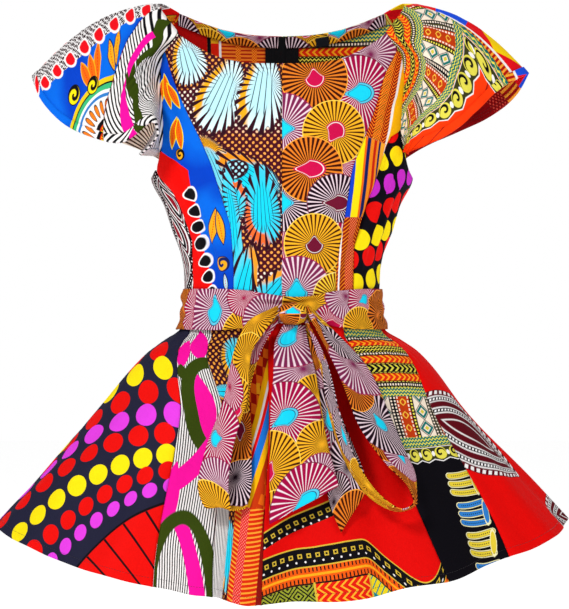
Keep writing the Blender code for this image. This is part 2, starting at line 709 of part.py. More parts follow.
def knot():
    bpy.ops.mesh.primitive_uv_sphere_add(segments=16, ring_count=10, radius=1)
    piece = bpy.context.object
    piece.name = piece.data.name = "bow_knot"
    centre = (KNOT_ACROSS, KNOT_BACK - KNOT_DEPTH / 2, KNOT_HEIGHT)
    halves = (KNOT_HALF_WIDTH, KNOT_DEPTH / 2, KNOT_HALF_HEIGHT)
    for vertex in piece.data.vertices:
        size = sum(abs(c) ** KNOT_SQUARENESS for c in vertex.co) ** (1 / KNOT_SQUARENESS)
        vertex.co = [middle + half * c / size for middle, half, c in zip(centre, halves, vertex.co)]
    piece.data.materials.append(material("bow_knot", (0.55, 0.25, 0.40)))
    piece.data.shade_smooth()
    gather(piece)


def inside_panel(rows, column, row, depth):
    """A point inside a panel's wall, at a column and a row that may lie between the panel's own, moved in by depth."""
    i, j = min(int(column), len(rows[0]) - 2), min(int(row), len(rows) - 2)
    u, v = column - i, row - j
    corners = [Vector(rows[j + b][i + a]) for b in (0, 1) for a in (0, 1)]
    upper, lower = corners[0].lerp(corners[1], u), corners[2].lerp(corners[3], u)
    place = upper.lerp(lower, v)
    across = (corners[1] - corners[0]).lerp(corners[3] - corners[2], v)
    inwards = across.cross(lower - upper).normalized()
    if inwards.dot(place) > 0:
        inwards.negate()
    return tuple(place + inwards * depth)


def zip_tape(backs):
    """The two tapes of the zip, closed, on the inside of the back seam."""
    rows = []
    for j in range(ZIP_ROWS + 1):
        row = []
        for side, edge in (("left", 1), ("right", 0), ("right", 1)):
            panel = backs[side]
            column = edge * ZIP_HALF_WIDTH / abs(panel[min(j, ZIP_WIDEST_ROW)][1][0])
            row.append(inside_panel(panel, column, max(j, ZIP_START), WALL + TRIM_CLEAR))
        rows.append(row)
    sheet("zip_tape", rows, ZIP_WALL, (0.01, 0.01, 0.01))


def neck_facings(backs):
    """Narrow facings inside the back neck, either side of the zip, and a bare label beside it."""
    for side, panel in backs.items():
        rows = []
        for share in (FACING_START, 1.0):
            row = []
            for i in range(1, CENTRE_COLUMNS + 1):
                drop = (Vector(panel[1][i]) - Vector(panel[0][i])).length
                row.append(inside_panel(panel, i, share * FACING_WIDTH / drop, WALL + TRIM_CLEAR))
            rows.append(row if side == "right" else row[::-1])
        sheet(f"neck_facing_{side}", rows, FACING_WALL, (0.75, 0.40, 0.10))
    rows = []
    for row_share in LABEL_ROWS:
        in_by = WALL + 2 * TRIM_CLEAR + FACING_WALL
        rows.append([inside_panel(backs["left"], column, row_share, in_by) for column in LABEL_COLUMNS])
    sheet("neck_label", rows, FACING_WALL, (0.01, 0.01, 0.01))


def zip_slider():
    bpy.ops.mesh.primitive_cube_add(size=2)
    piece = bpy.context.object
    piece.name = piece.data.name = "zip_slider"
    height = NECK_BACK - SLIDER_BELOW
    wall = torso_point(90, height + SLIDER_HALF_HEIGHT)[1]
    lowest_wall = torso_point(90, height - SLIDER_HALF_HEIGHT)[1]
    piece.location = (0, max(wall, lowest_wall) + GAP + SLIDER_DEPTH / 2, height)
    piece.scale = (SLIDER_HALF_WIDTH, SLIDER_DEPTH / 2, SLIDER_HALF_HEIGHT)
    bpy.ops.object.transform_apply(location=True, rotation=False, scale=True)
    bevel = piece.modifiers.new("rounded", "BEVEL")
    bevel.width = SLIDER_DEPTH / 5
    bevel.segments = 2
    piece.data.materials.append(material("zip_slider", (0.02, 0.02, 0.02), 0.35, 0.8))
    piece.data.shade_smooth()
    gather(piece)


for old in list(bpy.data.objects):
    bpy.data.objects.remove(old)
BLOUSE = bpy.data.collections.new("tie_waist_blouse")
bpy.context.scene.collection.children.link(BLOUSE)

BACKS = bodice()
peplum()
sleeves()
belt()
knot()
bow_loop("bow_loop_right", RIGHT_LOOP)
bow_loop("bow_loop_left", LEFT_LOOP)
bow_tail("bow_tail_front", TAIL_FRONT, TAIL_FRONT_OUT)
bow_tail("bow_tail_back", TAIL_BACK, TAIL_BACK_OUT)
zip_tape(BACKS)
neck_facings(BACKS)
zip_slider()
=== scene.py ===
"""The looks of a patchwork peplum blouse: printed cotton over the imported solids, sewing, light and camera.

Metres, +Z up, the front faces -Y and the wearer's left is +X. Ring angles run round the body from the
wearer's left side: 90 is the middle of the back and 270 the middle of the front. Each piece carries its
flat cut in a UV map named Cut, in metres, which its print is drawn on.
"""
import math

import bpy
import numpy as np
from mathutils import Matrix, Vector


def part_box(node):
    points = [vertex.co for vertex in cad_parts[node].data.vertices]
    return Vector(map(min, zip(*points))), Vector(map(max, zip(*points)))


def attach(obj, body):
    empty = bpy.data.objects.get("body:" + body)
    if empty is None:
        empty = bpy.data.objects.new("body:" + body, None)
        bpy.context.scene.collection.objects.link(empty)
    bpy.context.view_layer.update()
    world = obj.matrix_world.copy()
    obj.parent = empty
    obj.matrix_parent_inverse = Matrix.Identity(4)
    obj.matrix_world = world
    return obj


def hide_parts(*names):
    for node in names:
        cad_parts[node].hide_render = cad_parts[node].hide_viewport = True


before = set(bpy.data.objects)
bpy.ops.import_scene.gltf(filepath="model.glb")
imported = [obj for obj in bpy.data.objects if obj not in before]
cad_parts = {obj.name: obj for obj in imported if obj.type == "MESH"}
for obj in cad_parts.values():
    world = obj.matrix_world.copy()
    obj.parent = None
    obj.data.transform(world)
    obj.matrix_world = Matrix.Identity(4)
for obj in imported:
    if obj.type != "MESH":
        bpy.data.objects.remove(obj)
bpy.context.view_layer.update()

WALL = 0.0013
WAIST = -0.370
SHOULDER_HALF = 0.150
NECK_JOIN_FRONT = -0.036
NECK_JOIN_BACK = -0.007
BELT_TOP = -0.341
BELT_BOTTOM = -0.389


class Chart:
    """A size chart with named columns, read on a smooth curve through its rows."""

    def __init__(self, columns, *rows):
        self.columns = columns.split()
        self.rows = np.array(rows, float)

    def __call__(self, column, at):
        places, values = self.rows[:, 0], self.rows[:, self.columns.index(column)]
        steps = np.diff(places)
        rises = np.diff(values) / steps
        before = np.concatenate([rises[:1], rises])
        after = np.concatenate([rises, rises[-1:]])
        same = before * after > 0
        slopes = np.where(same, 2 * before * after / np.where(same, before + after, 1), 0)
        at = np.clip(at, places[0], places[-1])
        low = np.clip(np.searchsorted(places, at, side="right") - 1, 0, len(steps) - 1)
        f = (at - places[low]) / steps[low]
        ease = f * f * (3 - 2 * f)
        bend = steps[low] * f * (1 - f) * (slopes[low] * (1 - f) - slopes[low + 1] * f)
        return values[low] * (1 - ease) + values[low + 1] * ease + bend


TORSO = Chart(
    "height half_width front_depth back_depth",
    (-0.370, 0.1170, 0.091, 0.084),
    (-0.345, 0.1170, 0.091, 0.084),
    (-0.320, 0.1176, 0.093, 0.084),
    (-0.302, 0.1206, 0.095, 0.085),
    (-0.270, 0.1320, 0.099, 0.087),
    (-0.241, 0.1416, 0.102, 0.090),
    (-0.209, 0.1570, 0.103, 0.092),
    (-0.180, 0.1590, 0.102, 0.093),
    (-0.140, 0.1605, 0.099, 0.092),
    (-0.100, 0.1605, 0.092, 0.086),
    (-0.079, 0.1600, 0.086, 0.079),
    (-0.060, 0.1580, 0.076, 0.073),
    (-0.036, 0.1560, 0.062, 0.062),
    (-0.020, 0.1540, 0.050, 0.052),
    (-0.007, 0.1515, 0.038, 0.040),
    (0.000, 0.1500, 0.030, 0.034),
)
BUST_OUT = 0.013
BUST_HALF_SPREAD = 0.045
BUST_HALF_HEIGHT = 0.050
BUST_FROM_CENTRE = 0.072
BUST_HEIGHT = -0.200
ARMHOLE = Chart(
    "height front back",
    (-0.2100, 0.0, 0.0),
    (-0.2065, 10.2, 10.0),
    (-0.1990, 18.0, 17.5),
    (-0.1830, 23.2, 22.5),
    (-0.1540, 27.4, 25.8),
    (-0.1220, 26.2, 24.0),
    (-0.0900, 23.7, 21.8),
    (-0.0630, 25.2, 21.5),
    (-0.0360, 36.1, 24.5),
    (-0.0070, 36.1, 33.7),
)
NECKLINE = Chart(
    "reach front back",
    (0.000, -0.0790, -0.0310),
    (0.030, -0.0785, -0.0300),
    (0.064, -0.0735, -0.0257),
    (0.094, -0.0600, -0.0180),
    (0.113, -0.0470, -0.0114),
    (0.126, -0.0360, -0.0070),
    (0.150, -0.0180, -0.0010),
)
PRINCESS_FRONT = Chart(
    "height right left",
    (-0.370, 0.0570, 0.0637),
    (-0.331, 0.0568, 0.0637),
    (-0.277, 0.0600, 0.0705),
    (-0.241, 0.0693, 0.0762),
    (-0.203, 0.0808, 0.0825),
    (-0.169, 0.0950, 0.0955),
    (-0.132, 0.1129, 0.1090),
    (-0.094, 0.1290, 0.1200),
    (-0.056, 0.1405, 0.1380),
)
SIDE_FRONT = Chart(
    "height right left",
    (-0.370, 0.1055, 0.0847),
    (-0.331, 0.1060, 0.0847),
    (-0.2997, 0.1068, 0.0850),
    (-0.272, 0.1117, 0.0925),
    (-0.2308, 0.1280, 0.1060),
    (-0.2005, 0.1500, 0.1150),
    (-0.1630, 0.1510, 0.1290),
    (-0.1540, 0.1510, 0.1420),
)
SIDE_FRONT_TOP = {"right": -0.2005, "left": -0.154}
PRINCESS_BACK = Chart(
    "height right left",
    (-0.370, 0.0540, 0.0540),
    (-0.300, 0.0600, 0.0600),
    (-0.240, 0.0740, 0.0740),
    (-0.180, 0.0960, 0.0960),
    (-0.130, 0.1150, 0.1150),
    (-0.085, 0.1340, 0.1340),
    (-0.050, 0.1430, 0.1430),
)
SIDE_BACK = Chart(
    "height right left",
    (-0.370, 0.0980, 0.0980),
    (-0.300, 0.1010, 0.1010),
    (-0.250, 0.1160, 0.1160),
    (-0.210, 0.1360, 0.1360),
    (-0.178, 0.1464, 0.1464),
)
SIDE_BACK_TOP = -0.178
PANEL_TOP = {True: -0.060, False: -0.056}

PEPLUM_TOP = WAIST - 0.0003
PEPLUM_OUT = {"side": 0.222, "front": 0.139, "back": 0.148}
PEPLUM_DROP = {"side": 0.248, "front": 0.318, "back": 0.308}
FLARE = Chart(
    "share out down",
    (0.00, 0.000, 0.000),
    (0.08, 0.025, 0.078),
    (0.14, 0.120, 0.135),
    (0.20, 0.205, 0.190),
    (0.46, 0.455, 0.460),
    (1.00, 1.000, 1.000),
)
# Folds down the peplum: ring angle, half their width in degrees, and how far they stand out at the hem
FOLDS = np.array([
    (12, 12, 0.006), (31, 9, 0.016), (48, 8, -0.016), (66, 9, 0.018), (84, 8, -0.014), (101, 9, 0.016),
    (119, 8, -0.018), (137, 10, 0.014), (155, 9, -0.012), (200, 15, 0.006), (246, 6.5, -0.017),
    (257.3, 4.0, -0.020), (263.4, 5.2, 0.029), (273, 5.0, -0.010), (284, 8, 0.010), (293.5, 6, -0.015),
    (303, 8, 0.009), (315, 7, -0.008), (335, 12, 0.006),
])
FOLD_GROWTH = 1.6
# Gores: the ring angle of the seam where each begins, at the waist, 0.4 of the way down and at the hem
CUT_MIDDLE = 0.4
GORES = {
    "peplum_back_fans": (24, 28, 30),
    "peplum_back_blue": (58, 60, 62),
    "peplum_back_bars": (90, 90, 90),
    "peplum_back_leaves": (122, 120, 118),
    "peplum_dots": (152, 150, 150),
    "peplum_stripes": (199, 235.3, 243.6),
    "peplum_plumes": (220.5, 250.4, 256.2),
    "peplum_kente": (245, 257, 259.9),
    "peplum_arches": (262, 266, 266.6),
    "peplum_bands": (308, 303, 302.6),
    "peplum_paisley": (352, 328.3, 320.3),
}

SLEEVE_LOW = -0.178
SLEEVE_JOIN = 0.36
SLEEVE_GAP = 0.0012
HEMS = {
    "right": Chart(
        "share reach depth height",
        (0.00, 0.1500, -0.046, -0.1830),
        (0.04, 0.1680, -0.062, -0.1830),
        (0.08, 0.1560, -0.084, -0.1745),
        (0.12, 0.1430, -0.094, -0.1600),
        (0.16, 0.1500, -0.104, -0.1500),
        (0.20, 0.1690, -0.105, -0.1640),
        (0.26, 0.1900, -0.100, -0.1730),
        (0.33, 0.2200, -0.092, -0.1660),
        (0.40, 0.2560, -0.068, -0.1480),
        (0.46, 0.2840, -0.036, -0.1180),
        (0.50, 0.2990, 0.000, -0.0870),
        (0.56, 0.2860, 0.034, -0.1120),
        (0.66, 0.2500, 0.066, -0.1360),
        (0.78, 0.2080, 0.083, -0.1560),
        (0.90, 0.1730, 0.075, -0.1700),
        (1.00, 0.1490, 0.040, -0.1830),
    ),
    "left": Chart(
        "share reach depth height",
        (0.00, 0.1490, -0.046, -0.1800),
        (0.06, 0.1600, -0.066, -0.1765),
        (0.16, 0.1820, -0.080, -0.1680),
        (0.26, 0.2080, -0.076, -0.1520),
        (0.35, 0.2320, -0.058, -0.1290),
        (0.43, 0.2620, -0.036, -0.1020),
        (0.50, 0.2950, 0.000, -0.0840),
        (0.56, 0.2860, 0.030, -0.1040),
        (0.66, 0.2560, 0.060, -0.1290),
        (0.78, 0.2150, 0.080, -0.1480),
        (0.90, 0.1750, 0.072, -0.1660),
        (1.00, 0.1490, 0.040, -0.1830),
    ),
}
PUFF = Chart(
    "share forward outward upward",
    (0.00, 0.004, 0.000, 0.000),
    (0.15, 0.022, 0.004, 0.008),
    (0.35, 0.022, 0.006, 0.022),
    (0.50, 0.000, 0.008, 0.034),
    (0.65, -0.022, 0.006, 0.022),
    (0.85, -0.022, 0.004, 0.008),
    (1.00, -0.004, 0.000, 0.000),
)
SLEEVE_SEAMS = {"right": (0.46, 0.30), "left": (0.48, 0.44)}

BAND = Chart(
    "share half_width front_depth back_depth",
    (0.0, 0.1196, 0.0936, 0.0866),
    (0.6, 0.1216, 0.0956, 0.0886),
    (1.0, 0.1270, 0.1006, 0.0936),
)
KNOT_ANGLE = 278.0
BAND_GATHER = 24.0
BAND_NARROWING = 0.20
KNOT = {"centre": (0.0125, -0.1096, -0.3700), "halves": (0.0160, 0.0120, 0.0130)}
KNOT_POWER = 2.6
RIGHT_LOOP = Chart(
    "share x1 z1 out1 x2 z2 out2",
    (0.00, -0.0042, -0.3600, 0.0200, -0.0042, -0.3700, 0.0190),
    (0.08, -0.0400, -0.3800, 0.0320, -0.0180, -0.3880, 0.0330),
    (0.18, -0.0550, -0.4130, 0.0360, -0.0350, -0.4170, 0.0400),
    (0.30, -0.0660, -0.4650, 0.0360, -0.0400, -0.4650, 0.0420),
    (0.40, -0.0860, -0.5220, 0.0320, -0.0560, -0.5220, 0.0400),
    (0.47, -0.0940, -0.5640, 0.0270, -0.0600, -0.5610, 0.0350),
    (0.50, -0.0850, -0.5860, 0.0200, -0.0560, -0.5880, 0.0260),
    (0.54, -0.0760, -0.5840, 0.0120, -0.0410, -0.5860, 0.0210),
    (0.62, -0.0700, -0.5560, 0.0080, -0.0340, -0.5560, 0.0190),
    (0.72, -0.0640, -0.5120, 0.0070, -0.0340, -0.5120, 0.0150),
    (0.82, -0.0560, -0.4660, 0.0070, -0.0370, -0.4660, 0.0120),
    (0.92, -0.0380, -0.4120, 0.0120, -0.0240, -0.4140, 0.0140),
    (1.00, -0.0042, -0.3720, 0.0110, -0.0042, -0.3790, 0.0120),
)
LEFT_LOOP = Chart(
    "share x1 z1 out1 x2 z2 out2",
    (0.00, 0.0282, -0.3780, 0.0190, 0.0282, -0.3740, 0.0110),
    (0.15, 0.0530, -0.4300, 0.0440, 0.0450, -0.4300, 0.0240),
    (0.30, 0.0660, -0.4830, 0.0480, 0.0550, -0.4860, 0.0240),
    (0.42, 0.0800, -0.5280, 0.0460, 0.0690, -0.5320, 0.0240),
    (0.52, 0.1080, -0.5700, 0.0420, 0.0990, -0.5760, 0.0230),
    (0.58, 0.1340, -0.5860, 0.0390, 0.1310, -0.5900, 0.0210),
    (0.62, 0.1460, -0.5790, 0.0370, 0.1500, -0.5820, 0.0200),
    (0.66, 0.1400, -0.5640, 0.0370, 0.1500, -0.5600, 0.0180),
    (0.76, 0.1190, -0.5410, 0.0380, 0.1390, -0.5260, 0.0150),
    (0.86, 0.0870, -0.4960, 0.0420, 0.1230, -0.4870, 0.0130),
    (0.93, 0.0650, -0.4390, 0.0420, 0.1000, -0.4370, 0.0120),
    (1.00, 0.0282, -0.3645, 0.0200, 0.0282, -0.3610, 0.0110),
)
TAIL_FRONT = Chart(
    "share left_x left_z right_x right_z",
    (0.00, 0.0010, -0.3832, 0.0260, -0.3832),
    (0.12, -0.0090, -0.4080, 0.0310, -0.4080),
    (0.28, -0.0100, -0.4430, 0.0390, -0.4400),
    (0.42, -0.0130, -0.4770, 0.0440, -0.4720),
    (0.70, -0.0140, -0.5420, 0.0520, -0.5180),
    (1.00, -0.0140, -0.6030, 0.0640, -0.5620),
)
TAIL_BACK = Chart(
    "share left_x left_z right_x right_z",
    (0.00, 0.0080, -0.3835, 0.0270, -0.3835),
    (0.20, 0.0200, -0.4320, 0.0500, -0.4290),
    (0.45, 0.0320, -0.4970, 0.0640, -0.4770),
    (0.70, 0.0470, -0.5560, 0.0780, -0.5120),
    (0.90, 0.0560, -0.5900, 0.0930, -0.5500),
    (1.00, 0.0660, -0.6130, 0.0970, -0.5660),
)
# How far a tail stands out at its top and bottom, and how deep its pleats are
TAIL_OUT = {"front": (0.0125, 0.0210, 0.0030), "back": (0.0088, 0.0110, 0.0012)}
TAIL_PLEATS = 2
TIE_WALL = 0.0014
WAIST_RADIUS = 0.118


# The surfaces that the panels are cut from
def mix(a, b, share):
    return a + (b - a) * share


def bell(distance, spread):
    return np.exp(-((distance / spread) ** 2))


def turn(angle):
    """An angle as the shortest turn from 0, in degrees."""
    return (angle + 180) % 360 - 180


def torso_point(angle, height):
    across, deep = np.cos(np.radians(angle)), np.sin(np.radians(angle))
    x = TORSO("half_width", height) * across
    y = np.where(deep > 0, TORSO("back_depth", height), TORSO("front_depth", height)) * deep
    full = sum(bell(x - side * BUST_FROM_CENTRE, BUST_HALF_SPREAD) for side in (-1, 1))
    y = y + np.minimum(deep, 0) * BUST_OUT * full * bell(height - BUST_HEIGHT, BUST_HALF_HEIGHT)
    return np.stack([x, y, height + 0 * x], -1)


def ring_angle(x, height, front):
    angle = np.degrees(np.arccos(np.clip(x / TORSO("half_width", height), -1, 1)))
    return 360 - angle if front else angle


def armhole_angle(side, front, height):
    from_side = ARMHOLE("front" if front else "back", height)
    if side == "right":
        return 180 + from_side if front else 180 - from_side
    return 360 - from_side if front else from_side


def seam_line(chart, side, front, top):
    sign = -1 if side == "right" else 1

    def line(height):
        on_cloth = ring_angle(sign * chart(side, height), height, front)
        return np.where(height > top, armhole_angle(side, front, height), on_cloth)

    return line


def princess(side, front):
    chart = PRINCESS_FRONT if front else PRINCESS_BACK
    return seam_line(chart, side, front, chart.rows[-1, 0])


def side_seam(side, front):
    if front:
        return seam_line(SIDE_FRONT, side, True, SIDE_FRONT_TOP[side])
    return seam_line(SIDE_BACK, side, False, SIDE_BACK_TOP)


def peplum_point(angle, share, folds=1.0):
    across, deep = np.cos(np.radians(angle)), np.sin(np.radians(angle))
    out, down = FLARE("out", share), FLARE("down", share)
    waist = TORSO.rows[0]
    half_width = waist[1] + PEPLUM_OUT["side"] * out
    front = deep < 0
    depth = np.where(front, waist[2] + PEPLUM_OUT["front"] * out, waist[3] + PEPLUM_OUT["back"] * out)
    drop = mix(PEPLUM_DROP["side"], np.where(front, PEPLUM_DROP["front"], PEPLUM_DROP["back"]), deep * deep)
    fold = sum(out_by * bell(turn(angle - at), spread) for at, spread, out_by in FOLDS)
    fold = fold * folds * share ** FOLD_GROWTH
    return np.stack([(half_width + fold) * across, (depth + fold) * deep, PEPLUM_TOP - drop * down], -1)


def sleeve_point(side, along, down):
    sign = -1 if side == "right" else 1
    front = torso_point(armhole_angle("left", True, NECK_JOIN_FRONT), NECK_JOIN_FRONT)
    back = torso_point(armhole_angle("left", False, NECK_JOIN_BACK), NECK_JOIN_BACK)
    share = np.clip((along - SLEEVE_JOIN) / (1 - 2 * SLEEVE_JOIN), 0, 1)
    lift = np.sin(np.pi * share)
    over = np.stack([
        mix(front[0], back[0], share) + (SHOULDER_HALF - front[0]) * lift,
        mix(front[1], back[1], share),
        mix(front[2], back[2], share) - (front[2] + back[2]) / 2 * lift,
    ], -1)
    up_front = mix(SLEEVE_LOW, NECK_JOIN_FRONT, np.clip(along / SLEEVE_JOIN, 0, 1))
    up_back = mix(SLEEVE_LOW, NECK_JOIN_BACK, np.clip((1 - along) / SLEEVE_JOIN, 0, 1))
    on_front = torso_point(armhole_angle("left", True, up_front), up_front)
    on_back = torso_point(armhole_angle("left", False, up_back), up_back)
    is_front, is_back = (along <= SLEEVE_JOIN)[..., None], (along >= 1 - SLEEVE_JOIN)[..., None]
    top = np.where(is_front, on_front, np.where(is_back, on_back, over))
    hem = np.stack([HEMS[side](column, along) for column in ("reach", "depth", "height")], -1)
    puff = 2 * down * (1 - down)
    x = mix(top[..., 0] + SLEEVE_GAP, hem[..., 0], down) + puff * PUFF("outward", along)
    y = mix(top[..., 1], hem[..., 1], down) - puff * PUFF("forward", along)
    z = mix(top[..., 2], hem[..., 2], down) + puff * PUFF("upward", along)
    return np.stack([sign * x, y, z], -1)


def front_surface(x, height):
    """How far forward the unfolded cloth lies at a place seen from the front."""
    above = torso_point(ring_angle(x, np.maximum(height, WAIST), True), np.maximum(height, WAIST))[..., 1]
    angle = np.full(np.shape(height), 270.0)
    for _ in range(8):
        drop = mix(PEPLUM_DROP["side"], PEPLUM_DROP["front"], np.sin(np.radians(angle)) ** 2)
        low, high = np.zeros(np.shape(height)), np.ones(np.shape(height))
        for _ in range(16):
            share = (low + high) / 2
            short = FLARE("down", share) * drop < PEPLUM_TOP - height
            low, high = np.where(short, share, low), np.where(short, high, share)
        half_width = TORSO.rows[0, 1] + PEPLUM_OUT["side"] * FLARE("out", share)
        angle = 360 - np.degrees(np.arccos(np.clip(x / half_width, -1, 1)))
    return np.where(height >= PEPLUM_TOP, above, peplum_point(angle, share, folds=0)[..., 1])


# Making cloth from a grid of points
def spaced(count, crowding=0.6):
    """Shares from 0 to 1, closer together near both ends."""
    even = np.linspace(0, 1, count + 1)
    return mix(even, (1 - np.cos(np.pi * even)) / 2, crowding)


def run_lengths(points, axis):
    steps = np.linalg.norm(np.diff(points, axis=axis), axis=-1)
    pad = [(0, 0), (0, 0)]
    pad[axis] = (1, 0)
    return np.cumsum(np.pad(steps, pad), axis=axis)


def outward(points):
    normal = np.cross(np.gradient(points, axis=0), np.gradient(points, axis=1))
    return normal / np.maximum(np.linalg.norm(normal, axis=-1, keepdims=True), 1e-9)


def wave(angle, rates, seed):
    """A soft uneven ripple between -1 and 1 round the body."""
    return sum(np.sin(np.radians(angle * rate) + seed * (k + 1)) for k, rate in enumerate(rates)) / len(rates)


SEAM_DIP = 0.0011
SEAM_HALF = 0.0022
PUCKER = 0.00035
PUCKER_EVERY = 0.011
PUCKER_DRIFT = 0.047


def seam_relief(points, seed, left=True, right=True):
    """How a panel turns in at its side seams, with the small puckers that the sewing leaves."""
    across, down = run_lengths(points, 1), run_lengths(points, 0)
    relief = np.zeros(across.shape)
    for wanted, distance in ((left, across), (right, across[:, -1:] - across)):
        if wanted:
            relief -= SEAM_DIP * bell(distance, SEAM_HALF)
            ripple = np.sin(2 * np.pi * down / PUCKER_EVERY + seed)
            ripple = ripple * np.sin(2 * np.pi * down / PUCKER_DRIFT + 2 * seed)
            relief += PUCKER * ripple * bell(distance - 0.003, 0.005)
    return relief


def developed(points):
    """The flat cut of a flared piece, in metres from the middle of its top edge."""
    across, down = run_lengths(points, 1), run_lengths(points, 0)
    middle = down[:, points.shape[1] // 2]
    widths = across[:, -1]
    flare = max((widths[-1] - widths[0]) / middle[-1], 1e-3)
    radius = widths[0] / flare + middle[:, None]
    sweep = (across / widths[:, None] - 0.5) * flare
    return np.stack([radius * np.sin(sweep), widths[0] / flare - radius * np.cos(sweep)], -1)


def strip_cut(points):
    across, down = run_lengths(points, 1), run_lengths(points, 0)
    return np.stack([across - across[:, -1:] / 2, -down], -1)


HEM_TURN = 0.0100
HEM_ROWS = (0.0, 0.35, 0.7, 1.0)


def with_hem(points, cut, wall):
    """The same sheet with its lower edge turned up inside, as a hem."""
    normal = outward(points)
    up = run_lengths(points[::-1], 0)[::-1]
    down = up[0] - up
    rows, cuts = [points], [cut]
    for share in HEM_ROWS:
        height = np.full(points.shape[1], share * HEM_TURN + 0.0004)
        row, flat = np.empty(points.shape[1:]), np.empty(cut.shape[1:])
        for i in range(points.shape[1]):
            for k in range(3):
                inside = points[:, i, k] - normal[:, i, k] * (2 * wall + 0.0004)
                row[i, k] = np.interp(down[-1, i] - height[i], down[:, i], inside)
            for k in range(2):
                edge, step = cut[-1, i, k], cut[-1, i, k] - cut[-2, i, k]
                flat[i, k] = edge + step / max(down[-1, i] - down[-2, i], 1e-6) * height[i]
        rows.append(row[None])
        cuts.append(flat[None])
    return np.concatenate(rows), np.concatenate(cuts)


BLOUSE = bpy.data.collections.new("blouse_cloth")
bpy.context.scene.collection.children.link(BLOUSE)
PIECES, GRIDS, CUTS, SHEETS = {}, {}, {}, {}


def new_piece(name, points, faces, smooth=True):
    """A mesh on the blouse's one body."""
    mesh = bpy.data.meshes.new(name)
    mesh.from_pydata(np.asarray(points, float).reshape(-1, 3).tolist(), [], faces)
    if smooth:
        mesh.shade_smooth()
    piece = bpy.data.objects.new(name, mesh)
    BLOUSE.objects.link(piece)
    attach(piece, "root")
    return piece


def grid_faces(rows, columns, closed, first=0):
    """The faces of a grid of points, which closes round where it is a tube."""
    return [(first + j * columns + i, first + (j + 1) * columns + i,
             first + (j + 1) * columns + (i + 1) % columns, first + j * columns + (i + 1) % columns)
            for j in range(rows - 1) for i in range(columns if closed else columns - 1)]


def cloth(node, points, cut, wall=WALL, closed=False, hem=False):
    """A wall through a grid of outside points, with its flat cut in the UV map that its print is drawn on."""
    GRIDS[node] = points
    if hem:
        points, cut = with_hem(points, cut, wall)
    CUTS[node], SHEETS[node] = cut, points
    rows, columns = points.shape[:2]
    piece = new_piece("cloth_" + node, points, grid_faces(rows, columns, closed))
    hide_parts(node)
    PIECES[node] = piece
    layer = piece.data.uv_layers.new(name="Cut")
    corners = np.empty(len(piece.data.loops), int)
    piece.data.loops.foreach_get("vertex_index", corners)
    flat = cut.reshape(-1, 2)
    uv = flat[corners]
    if closed:
        join = (corners % columns == 0) & (np.arange(len(corners)) % 4 >= 2)
        last = corners[join] + columns - 1
        uv[join] = flat[last] + (flat[last] - flat[last - 1])
    layer.data.foreach_set("uv", uv.ravel())
    thickness = piece.modifiers.new("wall", "SOLIDIFY")
    thickness.thickness = wall
    thickness.offset = -1


# Creases of the bodice: start and end (ring angle, height), half the width and how far each stands out
CREASES = np.array([
    (214, -0.175, 222, -0.262, 0.0045, -0.0042), (222, -0.240, 233, -0.350, 0.0035, -0.0050),
    (229, -0.250, 240, -0.345, 0.0040, 0.0026), (216, -0.215, 228, -0.330, 0.0040, 0.0024),
    (241, -0.222, 250, -0.300, 0.0070, -0.0030), (205, -0.212, 213, -0.310, 0.0040, -0.0030),
    (198, -0.215, 204, -0.330, 0.0050, 0.0022), (190, -0.225, 196, -0.335, 0.0045, -0.0026),
    (323, -0.160, 318, -0.250, 0.0040, -0.0030), (316, -0.225, 309, -0.345, 0.0038, -0.0042),
    (326, -0.190, 320, -0.330, 0.0042, 0.0034), (331, -0.180, 326, -0.300, 0.0034, -0.0036),
    (337, -0.185, 331, -0.335, 0.0045, 0.0030), (344, -0.205, 338, -0.330, 0.0040, -0.0034),
    (352, -0.215, 347, -0.320, 0.0050, 0.0022), (300, -0.235, 297, -0.330, 0.0060, -0.0014),
    (246, -0.300, 262, -0.338, 0.0050, -0.0016), (286, -0.300, 274, -0.336, 0.0050, 0.0014),
    (258, -0.315, 243, -0.336, 0.0040, 0.0012), (279, -0.322, 300, -0.338, 0.0040, -0.0014),
    (208, -0.120, 222, -0.150, 0.0060, -0.0024), (330, -0.118, 318, -0.150, 0.0060, -0.0022),
    (20, -0.190, 32, -0.300, 0.0050, -0.0034), (34, -0.200, 43, -0.330, 0.0045, 0.0028),
    (47, -0.180, 54, -0.320, 0.0060, -0.0026), (63, -0.210, 66, -0.335, 0.0050, 0.0022),
    (160, -0.190, 149, -0.300, 0.0050, -0.0032), (146, -0.205, 138, -0.330, 0.0045, 0.0028),
    (132, -0.170, 126, -0.315, 0.0060, -0.0026), (117, -0.215, 113, -0.335, 0.0050, 0.0020),
    (30, -0.110, 48, -0.150, 0.0070, -0.0020), (150, -0.108, 133, -0.150, 0.0070, -0.0022),
    (80, -0.300, 60, -0.335, 0.0050, -0.0016), (98, -0.310, 120, -0.336, 0.0050, 0.0014),
])
RING_RADIUS = 0.125


def bodice_relief(angle, height):
    relief = 0.0005 * wave(angle, (7, 13, 21), 1.3) * np.sin(height * 55 + np.radians(angle * 3))
    for start, top, end, bottom, half, out in CREASES:
        reach = np.array([math.radians(end - start) * RING_RADIUS, bottom - top])
        x, z = np.radians(turn(angle - start)) * RING_RADIUS, height - top
        length = np.linalg.norm(reach)
        along = (x * reach[0] + z * reach[1]) / length
        aside = (x * reach[1] - z * reach[0]) / length + 0.004 * np.sin(along / length * math.pi + start)
        taper = np.sin(np.pi * np.clip(along / length, 0, 1)) ** 0.7
        relief = relief + out * taper * bell(aside, half * (1 + 0.4 * np.clip(along / length, 0, 1)))
    return relief


